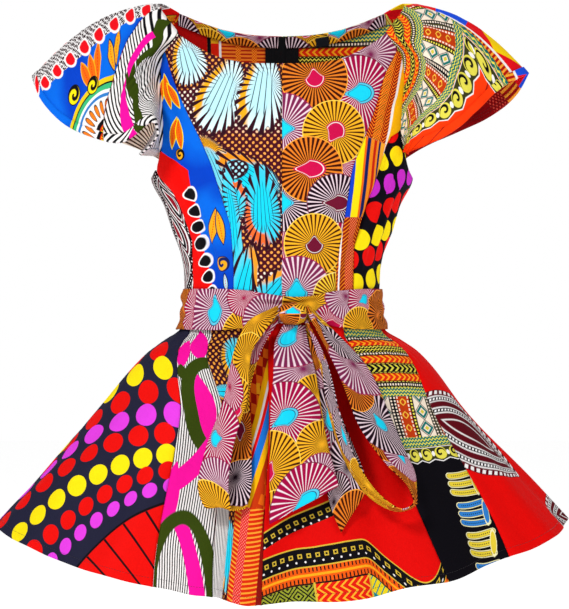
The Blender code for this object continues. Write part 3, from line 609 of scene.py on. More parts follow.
def body_cut(angle, height, middle):
    """Metres round the body from its middle line, and height."""
    sweep = np.linspace(-150, 150, 301)
    place = np.empty(angle.shape)
    for j in range(angle.shape[0]):
        for_row = torso_point(middle + sweep, np.full(sweep.shape, height[j].mean()))
        run = np.concatenate([[0], np.cumsum(np.linalg.norm(np.diff(for_row, axis=0), axis=-1))])
        place[j] = np.interp(turn(angle[j] - middle), sweep, run) - run[150]
    return np.stack([place, height], -1)


PANEL_ROWS = 56


def bodice_panel(node, start, end, top, columns, gap=0.0001):
    shares = spaced(columns)
    clear = math.degrees(gap / 0.09)

    def line(height):
        return mix(start(height) + clear, end(height) - clear, shares)

    edge = top(line)
    down = spaced(PANEL_ROWS, 0.35)[:, None]
    height = mix(edge[None], WAIST, down)
    angle = np.stack([line(row) for row in height])
    points = torso_point(angle, height)
    relief = bodice_relief(angle, height) + seam_relief(points, len(node))
    neck = np.minimum(run_lengths(points, 0) / 0.012, 1)
    points = points + outward(points) * (relief * neck)[..., None]
    middle = 270 if np.mean(np.sin(np.radians(angle))) < 0 else 90
    cloth(node, points, body_cut(angle, height, middle))


def neck_top(front):
    def top(line):
        height = np.array(NECK_JOIN_FRONT if front else NECK_JOIN_BACK)
        for _ in range(24):
            height = NECKLINE("front" if front else "back", np.abs(torso_point(line(height), height)[..., 0]))
        return height

    return top


def armhole_top(line):
    low, high = np.full(1, -0.210), np.full(1, SIDE_FRONT_TOP["left"])
    for _ in range(24):
        height = (low + high) / 2
        angle = line(height) % 360
        from_side = np.abs((angle + 90) % 180 - 90)
        edge = np.where(angle > 180, ARMHOLE("front", height), ARMHOLE("back", height))
        low, high = np.where(from_side > edge, height, low), np.where(from_side > edge, high, height)
    return (low + high) / 2


def level_top(height):
    def top(line):
        return np.full(line(np.array(height)).shape, height)

    return top


def make_bodice():
    def middle(front):
        return lambda height: (270 if front else 90) + 0 * height

    spans = {
        "front_centre_right": (princess("right", True), middle(True), True),
        "front_centre_left": (middle(True), princess("left", True), True),
        "back_centre_right": (middle(False), princess("right", False), False),
        "back_centre_left": (princess("left", False), middle(False), False),
    }
    for node, (start, end, front) in spans.items():
        bodice_panel(node, start, end, neck_top(front), 34)
    for side in ("right", "left"):
        for front in (True, False):
            inner, outer = princess(side, front), side_seam(side, front)
            start, end = (outer, inner) if (side == "right") == front else (inner, outer)
            node = f"{'front' if front else 'back'}_side_{side}"
            bodice_panel(node, start, end, level_top(PANEL_TOP[front]), 22)
        front_seam, back_seam = side_seam(side, True), side_seam(side, False)
        start, end = back_seam, front_seam
        if side == "left":
            start, end = front_seam, lambda height, seam=back_seam: seam(height) + 360
        bodice_panel(f"side_{side}", start, end, armhole_top, 30, gap=0.0003)


def gather_relief(angle, share):
    """Small gathers that start under the belt, and soft waves towards the hem."""
    gathers = 0.0011 * wave(angle, (37, 61, 89), 2.1) * np.exp(-((share - 0.10) / 0.12) ** 2)
    waves = 0.0050 * wave(angle, (11, 17, 29), 0.7) * np.clip(share - 0.15, 0, 1)
    drag = 0.0020 * np.sin(np.radians(angle * 9) + share * 9) * np.sin(np.pi * share)
    return (gathers + waves + drag) * np.clip(share / 0.06, 0, 1)


def make_peplum():
    names = list(GORES)
    for k, node in enumerate(names):
        here, after = GORES[node], GORES[names[(k + 1) % len(names)]]
        places = (0, CUT_MIDDLE, 1)
        first = Chart("share angle", *zip(places, here))
        last = Chart("share angle", *zip(places, after))
        full_turn = 360 if k + 1 == len(names) else 0
        share = spaced(64, 0.25)[:, None]
        wide = abs(after[2] + full_turn - here[2])
        columns = spaced(int(min(72, max(16, wide * 1.1))))
        start, end = first("angle", share) + 0.008, last("angle", share) + full_turn - 0.008
        angle = mix(start, end, columns[None])
        share = share + 0 * angle
        points = peplum_point(angle, share)
        relief = gather_relief(angle, share) + seam_relief(points, k + 1)
        points = points + outward(points) * relief[..., None]
        cloth(node, points, developed(points), hem=True)


# How far a sleeve's top edge reaches in under the bodice
SLEEVE_TUCK = 0.0045
SLEEVE_SEAM_GAP = 0.0004


def make_sleeves():
    for side in ("right", "left"):
        seam = SLEEVE_SEAMS[side]
        for part in ("front", "back"):
            node = f"sleeve_{side}_{part}"
            down = spaced(34, 0.3)[:, None]
            middle = mix(seam[0], seam[1], down)
            start, end = 0 * middle, middle - SLEEVE_SEAM_GAP
            if part == "back":
                start, end = middle + SLEEVE_SEAM_GAP, 0 * middle + 1
            along = mix(start, end, spaced(64, 0.3)[None])
            down = down + 0 * along
            if side == "left":
                along, down = along[:, ::-1], down[:, ::-1]
            points = sleeve_point(side, along, down)
            tuck = SLEEVE_TUCK * np.clip(1 - down / 0.06, 0, 1)
            points = points - np.stack([tuck * (-1 if side == "right" else 1), 0 * tuck, 0.4 * tuck], -1)
            run = along * 360
            relief = 0.0016 * wave(run, (19, 31, 47), 0.9) * np.sin(np.pi * np.clip(down * 1.2, 0, 1)) ** 2
            ends = np.clip(np.minimum(along, 1 - along) * 9, 0, 1)
            relief = relief + 0.0026 * wave(run, (7, 11), 2.7) * down ** 2 * ends
            points = points + outward(points) * (relief + seam_relief(points, len(node)))[..., None]
            cloth(node, points, developed(points), hem=True)


# The belt and the bow
def make_belt():
    angle = np.linspace(0, 360, 361)[None, :-1]
    down = np.linspace(0, 1, 33)[:, None]
    near = bell(turn(angle - KNOT_ANGLE), BAND_GATHER)
    share = mix(BAND_NARROWING * near, 1 - BAND_NARROWING * near, down)
    pleats = 0.0022 * mix(0.35, 1, near) * (1 - np.cos(2 * np.pi * 3 * down)) / 2
    along = np.radians(angle)
    crease = 0.0014 * np.sin(down * 15 + 1.6 * np.sin(along * 7 + 1) + along * 3) * np.sin(along * 5 + 0.7)
    crease = crease + 0.0016 * near * np.sin(down * 21 + 2.5 * turn(angle - KNOT_ANGLE) / BAND_GATHER)
    sag = 0.0007 * np.sin(along * 11 + 2) * np.sin(np.pi * down)
    relief = pleats + crease + sag
    deep = np.sin(along)
    depth = np.where(deep > 0, BAND("back_depth", share), BAND("front_depth", share)) + relief
    half_width = BAND("half_width", share) + relief
    edge = 0.0010 * np.sin(along * 9 + 1) + 0.0007 * np.sin(along * 23)
    height = mix(BELT_TOP, BELT_BOTTOM, share) + edge * (1 - near) * (1 - 2 * np.abs(down - 0.5))
    points = np.stack([half_width * np.cos(along), depth * deep, height], -1)
    run = WAIST_RADIUS * along * np.ones((33, 1))
    cloth("belt_band", points, np.stack([run, height + 0 * run], -1), wall=0.0018, closed=True)


def strap_points(chart, steps, columns):
    share, across = spaced(steps, 0.15)[:, None], np.linspace(0, 1, columns + 1)[None]
    edge = {c: chart(c, share) for c in ("x1", "z1", "out1", "x2", "z2", "out2")}
    x, z = mix(edge["x1"], edge["x2"], across), mix(edge["z1"], edge["z2"], across)
    out = mix(edge["out1"], edge["out2"], across)
    return np.stack([x, front_surface(x, z) - out, z], -1), share, across


def make_loops():
    for node, chart, seed in (("bow_loop_right", RIGHT_LOOP, 0.4), ("bow_loop_left", LEFT_LOOP, 1.9)):
        points, share, across = strap_points(chart, 120, 20)
        near_knot = np.exp(-np.minimum(share, 1 - share) / 0.10)
        folds = 0.0016 * near_knot * np.sin(2 * np.pi * 2.5 * across + seed)
        folds = folds + 0.0011 * np.sin(2 * np.pi * across + 14 * share + seed) * np.sin(np.pi * share)
        folds = folds + 0.0008 * np.sin(5 * across + 41 * share + seed) * np.sin(np.pi * across)
        points = points + outward(points) * folds[..., None]
        across_run, along_run = run_lengths(points, 1), run_lengths(points, 0)
        width = across_run[:, -1:].max() * (across - 0.5) + 0 * across_run
        cloth(node, points, np.stack([width, -along_run], -1), wall=TIE_WALL)


def make_tails():
    for part, chart in (("front", TAIL_FRONT), ("back", TAIL_BACK)):
        share, u = spaced(60, 0.2)[:, None], np.linspace(0, 1, 41)[None]
        top_out, bottom_out, pleat = TAIL_OUT[part]
        x = mix(chart("left_x", share), chart("right_x", share), u)
        z = mix(chart("left_z", share), chart("right_z", share), u)
        fold = pleat * (1 - np.cos(2 * np.pi * TAIL_PLEATS * u)) / 2 * np.minimum(1, share / 0.2)
        fold = fold + 0.0010 * np.sin(2 * np.pi * (u * 1.5 + share * 1.3)) * share
        fold = fold + 0.0007 * np.sin(2 * np.pi * u * 5 + 3 * share) * np.exp(-share / 0.25)
        points = np.stack([x, front_surface(x, z) - mix(top_out, bottom_out, share) - fold, z], -1)
        cloth(f"bow_tail_{part}", points, developed(points), wall=TIE_WALL)


def squared(value, power):
    """A sine or cosine pressed towards a square, for rings with flatter sides."""
    return np.sign(value) * np.abs(value) ** power


def make_knot():
    """The band wrapped once over the bow: a rounded pad with folds that turn in at both sides."""
    around, along = np.linspace(0, 2 * np.pi, 73)[None, :-1], np.linspace(-1, 1, 41)[:, None]
    middle, halves = np.array(KNOT["centre"]), np.array(KNOT["halves"])
    bulge = (1 - np.abs(along) ** KNOT_POWER) ** (1 / KNOT_POWER)
    folds = 1 + 0.035 * np.sin(9 * along + 0.5 * np.sin(around)) * bulge
    folds = folds - 0.05 * bell(along - 0.25, 0.10) * bulge
    folds = folds - 0.05 * bell(along + 0.42 + 0.1 * np.sin(around + 1), 0.09) * bulge
    rise = squared(np.sin(around), 2 / KNOT_POWER) * bulge * folds
    reach = squared(-np.cos(around), 2 / KNOT_POWER) * bulge * folds
    points = middle + np.stack([along * np.ones_like(around), reach, rise], -1) * halves
    flat = np.stack([along * halves[0] * 1.3 + 0 * around, around * halves[2] * 1.25 + 0 * along], -1)
    cloth("bow_knot", points, flat, closed=True)


# Pieces inside the back neck

# The inside of the back: how far round an angle reaches, its halves across and deep, and how it leans
BACK_RADIUS = 0.12
BACK_HALVES = (0.155, 0.075)
BACK_LEAN = 0.25


def inside_back(side, across, down, depth):
    """Points inside a middle back panel, in metres across from the zip and down from the neck edge."""
    sign = -1 if side == "right" else 1
    angle = 90 - sign * np.degrees(across / BACK_RADIUS)
    height = np.array(NECK_JOIN_BACK)
    for _ in range(24):
        height = NECKLINE("back", np.abs(torso_point(angle, height)[..., 0]))
    height = height - down * 0.97
    points = torso_point(angle, height)
    way_out = np.stack([points[..., 0] / BACK_HALVES[0] ** 2, points[..., 1] / BACK_HALVES[1] ** 2,
                        BACK_LEAN / BACK_RADIUS + 0 * height], -1)
    inwards = -way_out / np.linalg.norm(way_out, axis=-1, keepdims=True)
    return points + inwards * np.broadcast_to(depth, height.shape)[..., None]


def make_neck_inside():
    for side in ("right", "left"):
        across = np.linspace(0.0035, 0.118, 48)[None]
        down = np.linspace(0.0003, 0.0140, 8)[:, None]
        if side == "left":
            across = across[:, ::-1]
        ripple = 0.0003 * np.sin(across * 420) * down / 0.014
        points = inside_back(side, across, down, WALL + 0.0017 + ripple)
        cloth(f"neck_facing_{side}", points, strip_cut(points), wall=0.0008)
    points = inside_back("left", np.linspace(0.046, 0.033, 10)[None],
                         np.linspace(0.0042, 0.0160, 8)[:, None], WALL + 0.0030)
    cloth("neck_label", points, strip_cut(points), wall=0.0006)


# Printing: how a print is painted on the flat cut, in millimetres
class Ink:
    """A number that varies over the cloth; arithmetic on it adds Math nodes to its print."""

    def __init__(self, cloth_print, socket):
        self.print, self.socket = cloth_print, socket

    def math(self, operation, *values, clamp=False):
        settings = {"operation": operation, "use_clamp": clamp}
        return Ink(self.print, self.print.add("ShaderNodeMath", settings, dict(enumerate(values))).outputs[0])

    def __add__(self, other):
        return self.math("ADD", self, other)

    __radd__ = __add__

    def __sub__(self, other):
        return self.math("SUBTRACT", self, other)

    def __rsub__(self, other):
        return self.math("SUBTRACT", other, self)

    def __mul__(self, other):
        return self.math("MULTIPLY", self, other)

    __rmul__ = __mul__

    def __mod__(self, other):
        return self.math("FLOORED_MODULO", self, other)

    def __abs__(self):
        return self.math("ABSOLUTE", self)

    def __or__(self, other):
        return self.math("MAXIMUM", self, other)

    def __and__(self, other):
        return self.math("MINIMUM", self, other)

    def sine(self, pitch):
        """A wave from -1 to 1 with the given pitch."""
        return self.math("SINE", self * (2 * math.pi / pitch))

    def root(self):
        return self.math("SQRT", self)

    def below(self, edge, soft=0.5):
        """1 where the number lies under the edge, 0 above it, with a soft step between them."""
        return self.math("MULTIPLY_ADD", self, -1 / soft, edge / soft + 0.5, clamp=True)

    def above(self, edge, soft=0.5):
        return self.math("MULTIPLY_ADD", self, 1 / soft, 0.5 - edge / soft, clamp=True)

    def between(self, low, high, soft=0.5):
        return abs(self - (low + high) / 2).below((high - low) / 2, soft)

    def zigzag(self, pitch):
        """A saw-tooth line from 0 to half the pitch and back."""
        return self.math("PINGPONG", self, pitch / 2)


class Place:
    """A point of the flat cut; x, y, r and a are made when they are first asked for."""

    def __init__(self, cloth_print, vector):
        self.print, self.vector = cloth_print, vector

    def __getattr__(self, name):
        add = self.print.add
        if name in ("x", "y"):
            parts = add("ShaderNodeSeparateXYZ", {}, {0: self.vector})
            self.x, self.y = Ink(self.print, parts.outputs[0]), Ink(self.print, parts.outputs[1])
        elif name == "r":
            length = add("ShaderNodeVectorMath", {"operation": "LENGTH"}, {0: self.vector})
            self.r = Ink(self.print, length.outputs[1])
        elif name == "a":
            self.a = self.y.math("ARCTAN2", self.y, self.x)
        else:
            raise AttributeError(name)
        return self.__dict__[name]

    def at(self, x, y, turned=0, wide=1, tall=1):
        """The same cloth seen from a motif's own middle, turn and size."""
        values = {"Vector": self.vector, "Location": (x, y, 0), "Rotation": (0, 0, math.radians(turned)),
                  "Scale": (wide, tall, 1)}
        moved = self.print.add("ShaderNodeMapping", {"vector_type": "TEXTURE"}, values)
        return Place(self.print, moved.outputs[0])

    def tiled(self, wide, tall):
        """Repeats of wide by tall, each seen from its own middle."""
        values = {0: self.vector, 1: (wide / 2, tall / 2, 1), 2: (-wide / 2, -tall / 2, -1)}
        wrapped = self.print.add("ShaderNodeVectorMath", {"operation": "WRAP"}, values)
        return Place(self.print, wrapped.outputs[0])

    def nudged(self, size, amount):
        """The same cloth with its lines made uneven by a soft noise."""
        noise = self.print.add("ShaderNodeTexNoise", {},
                               {"Vector": self.vector, "Scale": 1 / size, "Detail": 1.0})
        shift = self.print.add("ShaderNodeVectorMath", {"operation": "MULTIPLY_ADD"},
                               {0: noise.outputs["Color"], 1: (2 * amount,) * 3, 2: (-amount,) * 3})
        moved = self.print.add("ShaderNodeVectorMath", {"operation": "ADD"},
                               {0: self.vector, 1: shift.outputs[0]})
        return Place(self.print, moved.outputs[0])


def dye(code):
    """A colour from its usual six-figure code."""
    levels = [int(code[i:i + 2], 16) / 255 for i in (0, 2, 4)]
    return tuple(c / 12.92 if c < 0.04045 else ((c + 0.055) / 1.055) ** 2.4 for c in levels) + (1,)


BLACK, WHITE, CREAM = dye("100e12"), dye("f2efee"), dye("f3e3cf")
CRIMSON, WINE, BRICK = dye("c9104a"), dye("6e1430"), dye("c8380e")
RED, ORANGE, GOLD, YELLOW = dye("e8100c"), dye("ee6a12"), dye("f0a81c"), dye("fbe312")
CYAN, PALE_BLUE, BLUE, NAVY = dye("19d3f2"), dye("b4dde6"), dye("1e74d6"), dye("14205a")
MAGENTA, OLIVE = dye("f4109c"), dye("34440c")
WEAVE_DEPTH = 0.03


class Print:
    """A printed cotton: a ground colour with motifs painted over it, one after the other."""

    def __init__(self, name, ground=WHITE):
        self.material = bpy.data.materials.new(name)
        self.material.use_nodes = True
        self.nodes, self.links = self.material.node_tree.nodes, self.material.node_tree.links
        self.shader = self.nodes["Principled BSDF"]
        self.colour = ground
        cut = self.add("ShaderNodeUVMap", {"uv_map": "Cut"}, {})
        scaled = self.add("ShaderNodeVectorMath", {"operation": "SCALE"}, {0: cut.outputs[0], 3: 1000.0})
        self.flat = Place(self, scaled.outputs[0])

    def add(self, kind, settings, values):
        node = self.nodes.new(kind)
        for name, setting in settings.items():
            setattr(node, name, setting)
        for name, value in values.items():
            value = getattr(value, "socket", getattr(value, "vector", value))
            if isinstance(value, bpy.types.NodeSocket):
                self.links.new(value, node.inputs[name])
            else:
                node.inputs[name].default_value = value
        return node

    def point(self, x, y):
        """A place from two numbers that vary."""
        return Place(self, self.add("ShaderNodeCombineXYZ", {}, {0: x, 1: y}).outputs[0])

    def paint(self, mask, colour):
        """Lay a colour over what is there, where the mask is 1."""
        self.colour = self.blend(mask, self.colour, colour)

    def blend(self, mask, first, second):
        """The first colour where the mask is 0, the second where it is 1."""
        return self.add("ShaderNodeMix", {"data_type": "RGBA"}, {0: mask, 6: first, 7: second}).outputs[2]

    def finish(self, roughness=0.62):
        """Dye slightly uneven, and give the cloth its fine weave and a soft crumple."""
        patches = self.add("ShaderNodeTexNoise", {}, {"Vector": self.flat, "Scale": 0.06, "Detail": 3.0})
        shade = self.add("ShaderNodeMix", {"data_type": "RGBA", "blend_type": "MULTIPLY"},
                         {0: Ink(self, patches.outputs[0]).below(0.5, 1.0) * 0.14, 6: self.colour,
                          7: (0.55, 0.5, 0.5, 1)})
        self.links.new(shade.outputs[2], self.shader.inputs["Base Color"])
        soft = self.add("ShaderNodeTexNoise", {}, {"Vector": self.flat, "Scale": 0.11, "Detail": 2.0})
        crumple = Ink(self, soft.outputs[0])
        threads = self.flat.x.sine(0.7) * self.flat.y.sine(0.7)
        bump = self.add("ShaderNodeBump", {}, {"Height": crumple * 1.6 + threads * WEAVE_DEPTH,
                                               "Strength": 0.5, "Distance": 0.001})
        self.links.new(bump.outputs[0], self.shader.inputs["Normal"])
        self.shader.inputs["Roughness"].default_value = roughness
        self.shader.inputs["Specular IOR Level"].default_value = 0.03
        return self.material


# Motifs
SLIT = dye("30101c")

# Eyes of the fans: sizes and dyes from the outside in
EYES = {
    "cyan": ((1.58, NAVY), (1.50, dye("58c6e2")), (1.24, NAVY), (1.16, CYAN)),
    "crimson": ((1.52, CRIMSON), (1.34, WHITE), (1.24, CRIMSON)),
    "wine": ((1.52, WINE), (1.34, WHITE), (1.24, WINE)),
}
# Rays, the ground between them, the line at the edge, and how wide the rays are
FAN_SCHEMES = {
    "rose": (dye("f3dfe6"), dye("a00a42"), WINE, -0.65),
    "sun": (dye("441806"), dye("f2b024"), dye("ffd858"), -0.25),
    "amber": (dye("401206"), dye("e47c24"), dye("ffac3c"), 0.08),
    "lilac": (dye("ecd2dc"), dye("7c2450"), dye("a30a46"), -0.4),
    "wine": (dye("e8d0da"), dye("1e0a18"), dye("6c1838"), -0.4),
    "gold": (dye("6a260a"), dye("f8d038"), dye("ffe98a"), 0.05),
}
FAN_RAYS = 38


def fan(p, place, reach, scheme, eye=None, size=(9, 6)):
    """Fine rays from a middle point, with an eye like a drop over it."""
    ray, ground, edge, share = FAN_SCHEMES[scheme]
    p.paint(place.r.below(reach, 0.8), ground)
    rays = place.a.sine(2 * math.pi / FAN_RAYS).below(share, 0.5)
    p.paint(place.r.below(reach, 0.8) & rays & place.r.above(reach * 0.14, reach * 0.2), ray)
    p.paint(place.r.between(reach - 1.0, reach, 0.5), edge)
    if eye:
        drop(p, place, size, EYES[eye])


def fan_ground(p, eyes=False):
    """The fan print where its motifs need no exact place."""
    for x, y, scheme, eye in ((0, 0, "rose", "cyan"), (42, 6, "sun", "crimson"), (84, -2, "lilac", None),
                              (20, 34, "sun", "wine"), (62, 38, "wine", "cyan"), (106, 33, "amber", None)):
        fan(p, p.flat.at(x, y).tiled(126, 68), 31, scheme, eye if eyes else None, (8, 6))


def drop(p, place, size, shades):
    """A drop with its tip to the right, and lines that follow its edge."""
    seen = place.at(0, 0, 0, size[0], size[1])
    narrow = seen.y * ((seen.x | 0.0) * 1.3 + 1.0)
    square = seen.x * seen.x + narrow * narrow
    away = square.root()
    for edge, shade in shades:
        p.paint(away.below(edge, 0.07), shade)


EYE_SCALE = 0.66


def fans(p, chart):
    """A chart of fans: middle, turn, reach, scheme, and for some the eye's kind, length and width."""
    for x, y, turned, reach, scheme, *eye in chart:
        size = [side * EYE_SCALE for side in eye[1:]]
        fan(p, p.flat.at(x, y, turned), reach, scheme, *eye[:1], size=size)


def plume(p, x, y, turned, wide, tall, root, fingers, near=CYAN, far=PALE_BLUE, fringe=GOLD, side=180,
          line=30):
    """A feather like an open hand: fingers cut apart by dark slits, and thin lines down its middle."""
    seen, spread = p.flat.at(x, y, turned, wide, tall), p.flat.at(x, y, turned).at(*root)
    comb = spread.a.sine(2 * math.pi / fingers)
    narrow = seen.x * (seen.y * 0.35 + 1.1)
    square = narrow * narrow + seen.y * seen.y
    away = square.root()
    inside = (away + comb * 0.07).below(1.0, 0.05)
    p.paint(inside, p.blend(away.below(0.75, 0.6), far, near))
    towards = seen.x * math.cos(math.radians(side)) + seen.y * math.sin(math.radians(side))
    p.paint(inside & away.above(0.68, 0.06) & towards.above(0.42, 0.2), fringe)
    p.paint((away * 1.7 - comb).above(1.8, 0.3) & away.between(0.4, 1.12, 0.05), SLIT)
    hair = p.flat.at(x, y, turned).at(0, tall * 2.2).a.sine(math.radians(line / tall * 6))
    p.paint(hair.above(0.9, 0.1) & away.below(0.62, 0.1), dye("16303c"))


def beads(p, across, along, middle, pitch, radius, colour):
    """A line of beads along a strip."""
    x, y = across - middle, (along % pitch) - pitch / 2
    p.paint((x * x + y * y).below(radius * radius, radius), colour)


def curl(p, place, reach, colour, line=WHITE):
    """A tendril that winds in to a middle point."""
    wound = (place.a * (1 / (2 * math.pi)) + place.r * (1.0 / reach)) % 1.0
    turns = wound.between(0.22, 0.72, 0.12) & place.r.below(reach)
    p.paint(place.r.below(reach + 1.2), line)
    p.paint(turns, colour)


def pointed(place, length, width):
    """How far out in a pointed leaf each place lies, from 0 in its middle to 1 at its edge."""
    seen = place.at(0, 0, 0, length / 2, width / 2)
    return abs(seen.y) + seen.x * seen.x


def leaf(p, place, length, width, colour, line=WHITE, vein=None):
    """A pointed leaf that lies along its own x."""
    away = pointed(place, length, width)
    p.paint(away.below(1 + 2.6 / width, 0.1), line)
    p.paint(away.below(1.0, 0.1), colour)
    if vein:
        p.paint(away.below(0.75, 0.1) & abs(place.y).below(0.45, 0.4) & (place.x % 3.0).above(1.2), vein)


def nest(p, place, length, width, shades):
    """A pointed leaf with many lines inside one another."""
    away = pointed(place, length, width)
    for edge, shade in shades:
        p.paint(away.below(edge, 0.035), shade)
    return away


# Prints of the bodice
def fans_front():
    p = Print("fan_print_front", dye("8a0c3c"))
    fans(p, (
        (6, -80, 60, 44, "rose"), (74, -60, 200, 40, "sun"), (108, -66, 200, 40, "lilac"),
        (108, -150, 60, 40, "rose"), (93, -113, 185, 46, "rose", "cyan", 19, 12.5),
        (38, -96, 100, 40, "amber", "crimson", 12, 12), (1, -156, 0, 42, "lilac", "cyan", 14, 12),
        (96, -205, 120, 38, "gold"), (66, -196, 60, 34, "rose"),
        (61.5, -160, 240, 38, "sun", "crimson", 14, 12), (3, -290, 60, 36, "rose"),
        (1, -242, 0, 34, "wine", "cyan", 13, 13), (90, -260, 60, 34, "lilac"),
        (32, -203, 180, 38, "amber", "crimson", 19, 11), (63, -242, 180, 34, "wine", "wine", 17, 10),
        (66, -300, 150, 36, "rose"), (84, -330, 150, 34, "sun"), (38, -290, 90, 36, "sun", "wine", 11, 11),
        (17, -345, 90, 42, "lilac", "cyan", 16, 13), (66, -352, 60, 30, "gold", "crimson", 9, 7)))
    return p.finish()


def dots_mask(place, pitch, radius):
    """Dots in rows, every other row moved half a pitch."""
    rows = place.tiled(pitch, pitch).r.below(radius)
    return rows | place.at(pitch / 2, pitch / 2).tiled(pitch, pitch).r.below(radius)


def plumes_front():
    p = Print("plume_print_front", dye("48121f"))
    light, pale, sky, orange = dye("b9eaf4"), dye("e6f8fb"), dye("6fd0e6"), dye("ef6a30")
    nearby = (p.flat.nudged(30, 8).y % 108).below(56, 14)
    uneven = p.flat.nudged(12, 1.6)
    p.paint(dots_mask(uneven, 8.2, 1.6), p.blend(nearby, CREAM, dye("f4a04a")))
    # From the neck down: three pale hands, a long wave with an orange back, and feathers at the waist
    plume(p, -116, -72, 20, 25, 31, (6, 6), 30, near=light, far=pale, side=150)
    plume(p, -72, -115, -24, 30, 46, (8, 12), 30, near=light, far=pale, side=170)
    plume(p, -24, -112, -8, 27, 47, (10, 10), 28, near=light, far=pale, side=180)
    plume(p, -84, -206, 24, 34, 46, (10, 30), 40, near=sky, far=pale, side=80, line=20)
    plume(p, -40, -212, 52, 24, 42, (8, -50), 60, near=CYAN, far=sky, side=60, fringe=dye("f0921e"), line=20)
    plume(p, -23, -246, 4, 22, 46, (0, -8), 26, near=CYAN, far=dye("48c8e4"), fringe=orange, side=225,
          line=18)
    plume(p, -58, -240, -20, 19, 24, (4, -16), 26, near=CYAN, far=sky, fringe=orange, side=90, line=18)
    p.paint(p.flat.at(-54, -204, 20, 16, 11).r.below(1.0, 0.1), SLIT)
    p.paint(p.flat.at(-54, -204, 20, 16, 11).r.below(0.85, 0.1) & dots_mask(uneven, 7.6, 1.6), dye("a9e2f0"))
    plume(p, -58, -262, 4, 10, 66, (20, 20), 30, near=CYAN, far=sky, fringe=CYAN, line=14)
    plume(p, -46, -336, -14, 19, 46, (-6, 60), 26, near=CYAN, far=sky, fringe=dye("f49c2c"), side=40)
    plume(p, -4, -348, -34, 28, 36, (4, -30), 34, near=CYAN, far=sky, fringe=dye("f49c2c"), side=120)
    return p.finish()


LEAF_WIDTH = 0.26


def foliage(p, chart):
    """A chart of leaves and curls: kind, middle, turn, size, dye and line."""
    for kind, x, y, turned, size, colour, line in chart:
        place = p.flat.at(x, y, turned)
        if kind == "curl":
            curl(p, place, size, colour, line)
        else:
            leaf(p, place, size, size * LEAF_WIDTH, colour, line, vein=RED)


def waved_blue(name):
    p = Print(name, dye("0868e0"))
    p.paint(p.flat.nudged(50, 30).y.sine(120).above(0.2, 1.2), dye("0640c0"))
    return p


def tendrils(name, slant, offset, layout, beads_from=0):
    """A generic border: blue and red grounds, dark beads between them, and tendrils and leaves."""
    p = waved_blue(name)
    side = p.flat.nudged(40, 4).at(offset, -200, slant)
    p.paint((side.x + ((p.flat.y - beads_from - 16) | 0.0) * 1.6).below(0), dye("ea0c08"))
    place = p.point(side.x, (side.y % 20) - 10).at(-5, 0, 0, 9, 6.5)
    narrow = place.y * (place.x * -0.35 + 1.0)
    away = place.x * place.x + narrow * narrow + p.flat.y.above(beads_from, 4) * 9
    p.paint(away.below(1.5, 0.2), WHITE)
    p.paint(away.below(0.95, 0.2), BLACK)
    foliage(p, layout)
    return p.finish()


def tendrils_front():
    return tendrils("tendril_print_front", 12, -118, (
        ("leaf", -158, -112, 70, 40, ORANGE, YELLOW), ("leaf", -146, -108, 100, 40, ORANGE, YELLOW),
        ("leaf", -136, -114, 122, 34, ORANGE, YELLOW), ("leaf", -138, -158, 76, 36, ORANGE, YELLOW),
        ("leaf", -129, -160, 96, 36, ORANGE, YELLOW), ("curl", -130, -184, 0, 6, GOLD, BLACK),
        ("curl", -164, -88, 0, 8, YELLOW, BLACK), ("leaf", -83, -268, 80, 40, GOLD, NAVY),
        ("leaf", -74, -270, 100, 38, GOLD, NAVY), ("curl", -72, -312, 0, 8, GOLD, NAVY),
        ("leaf", -68, -334, 95, 20, PALE_BLUE, NAVY)), beads_from=-219)


def kente_front():
    p = Print("kente_print_front", dye("e83c0c"))
    lean = p.flat.at(125, -130, -12)
    rows = (lean.y + lean.x.zigzag(17) * 1.1) % 4.2
    p.paint(rows.below(2.1, 0.5), dye("780f08"))
    p.paint(rows.between(3.1, 3.8, 0.4) & abs(lean.x).above(5), dye("f8a428"))
    p.paint(abs(lean.x + 1).below(5.5) & dots_mask(lean, 3.2, 0.8), dye("f8a428"))
    p.paint(lean.x.above(14, 0.6), WHITE)
    p.paint(lean.x.above(17.5, 0.6), dye("fbb90c"))
    p.paint(lean.x.above(40, 0.6), dye("c4100c"))
    low = p.flat.at(110, -166, -16).y.below(0, 1.0)
    stripe = p.flat.at(102, -200, -6).x
    for start, colour in ((-60, BLUE), (-22, dye("1540c8")), (-14, YELLOW), (-4, ORANGE), (-1, NAVY),
                          (4, dye("f0881c")), (9, dye("c42410")), (13, dye("f0881c")), (16, NAVY),
                          (19, dye("f6a82c")), (26, WHITE), (28, BRICK)):
        p.paint(low & stripe.above(start, 0.7), colour)
    chevrons = p.flat.at(86, -280, -3)
    # Below the bust the ground turns a deep red: partly the print's own dark red, partly painted shade of the
    # folds there.
    lower = p.flat.y.below(-258, 1.0)
    p.paint(lower, dye("8c1408"))
    p.paint(lower & ((chevrons.y + abs(chevrons.x) * 0.9) % 4.6).below(1.7), dye("e8821c"))
    p.paint(lower & abs(chevrons.x).below(5), dye("b8140c"))
    p.paint(lower & abs(chevrons.x).below(5) & dots_mask(chevrons, 3.2, 0.7), dye("f09858"))
    p.paint(p.flat.y.below(-225, 1.0) & chevrons.x.between(-15, -13), WHITE)
    return p.finish()


def paisley_side():
    p = Print("dark_paisley_print", dye("230a12"))
    p.paint(dots_mask(p.flat, 6.5, 1.0), WHITE)
    for x, y in ((0, 0), (21, 34)):
        place = p.flat.at(x, y).tiled(42, 68).at(0, 0, 78)
        nest(p, place, 62, 26, ((1.1, BLACK), (1.0, WHITE), (0.86, dye("5c1020")), (0.62, WHITE),
                                (0.54, BLACK), (0.3, WHITE), (0.2, dye("8c1424"))))
    return p.finish()


def discs_side():
    p = Print("disc_print_side", dye("0c0a14"))
    for row, colour in enumerate((RED, YELLOW, dye("c82cc8"), RED, YELLOW)):
        place = p.flat.at(row * 10, row * -27 - 50, 12).tiled(29, 135)
        p.paint(place.r.below(12), colour)
    return p.finish()


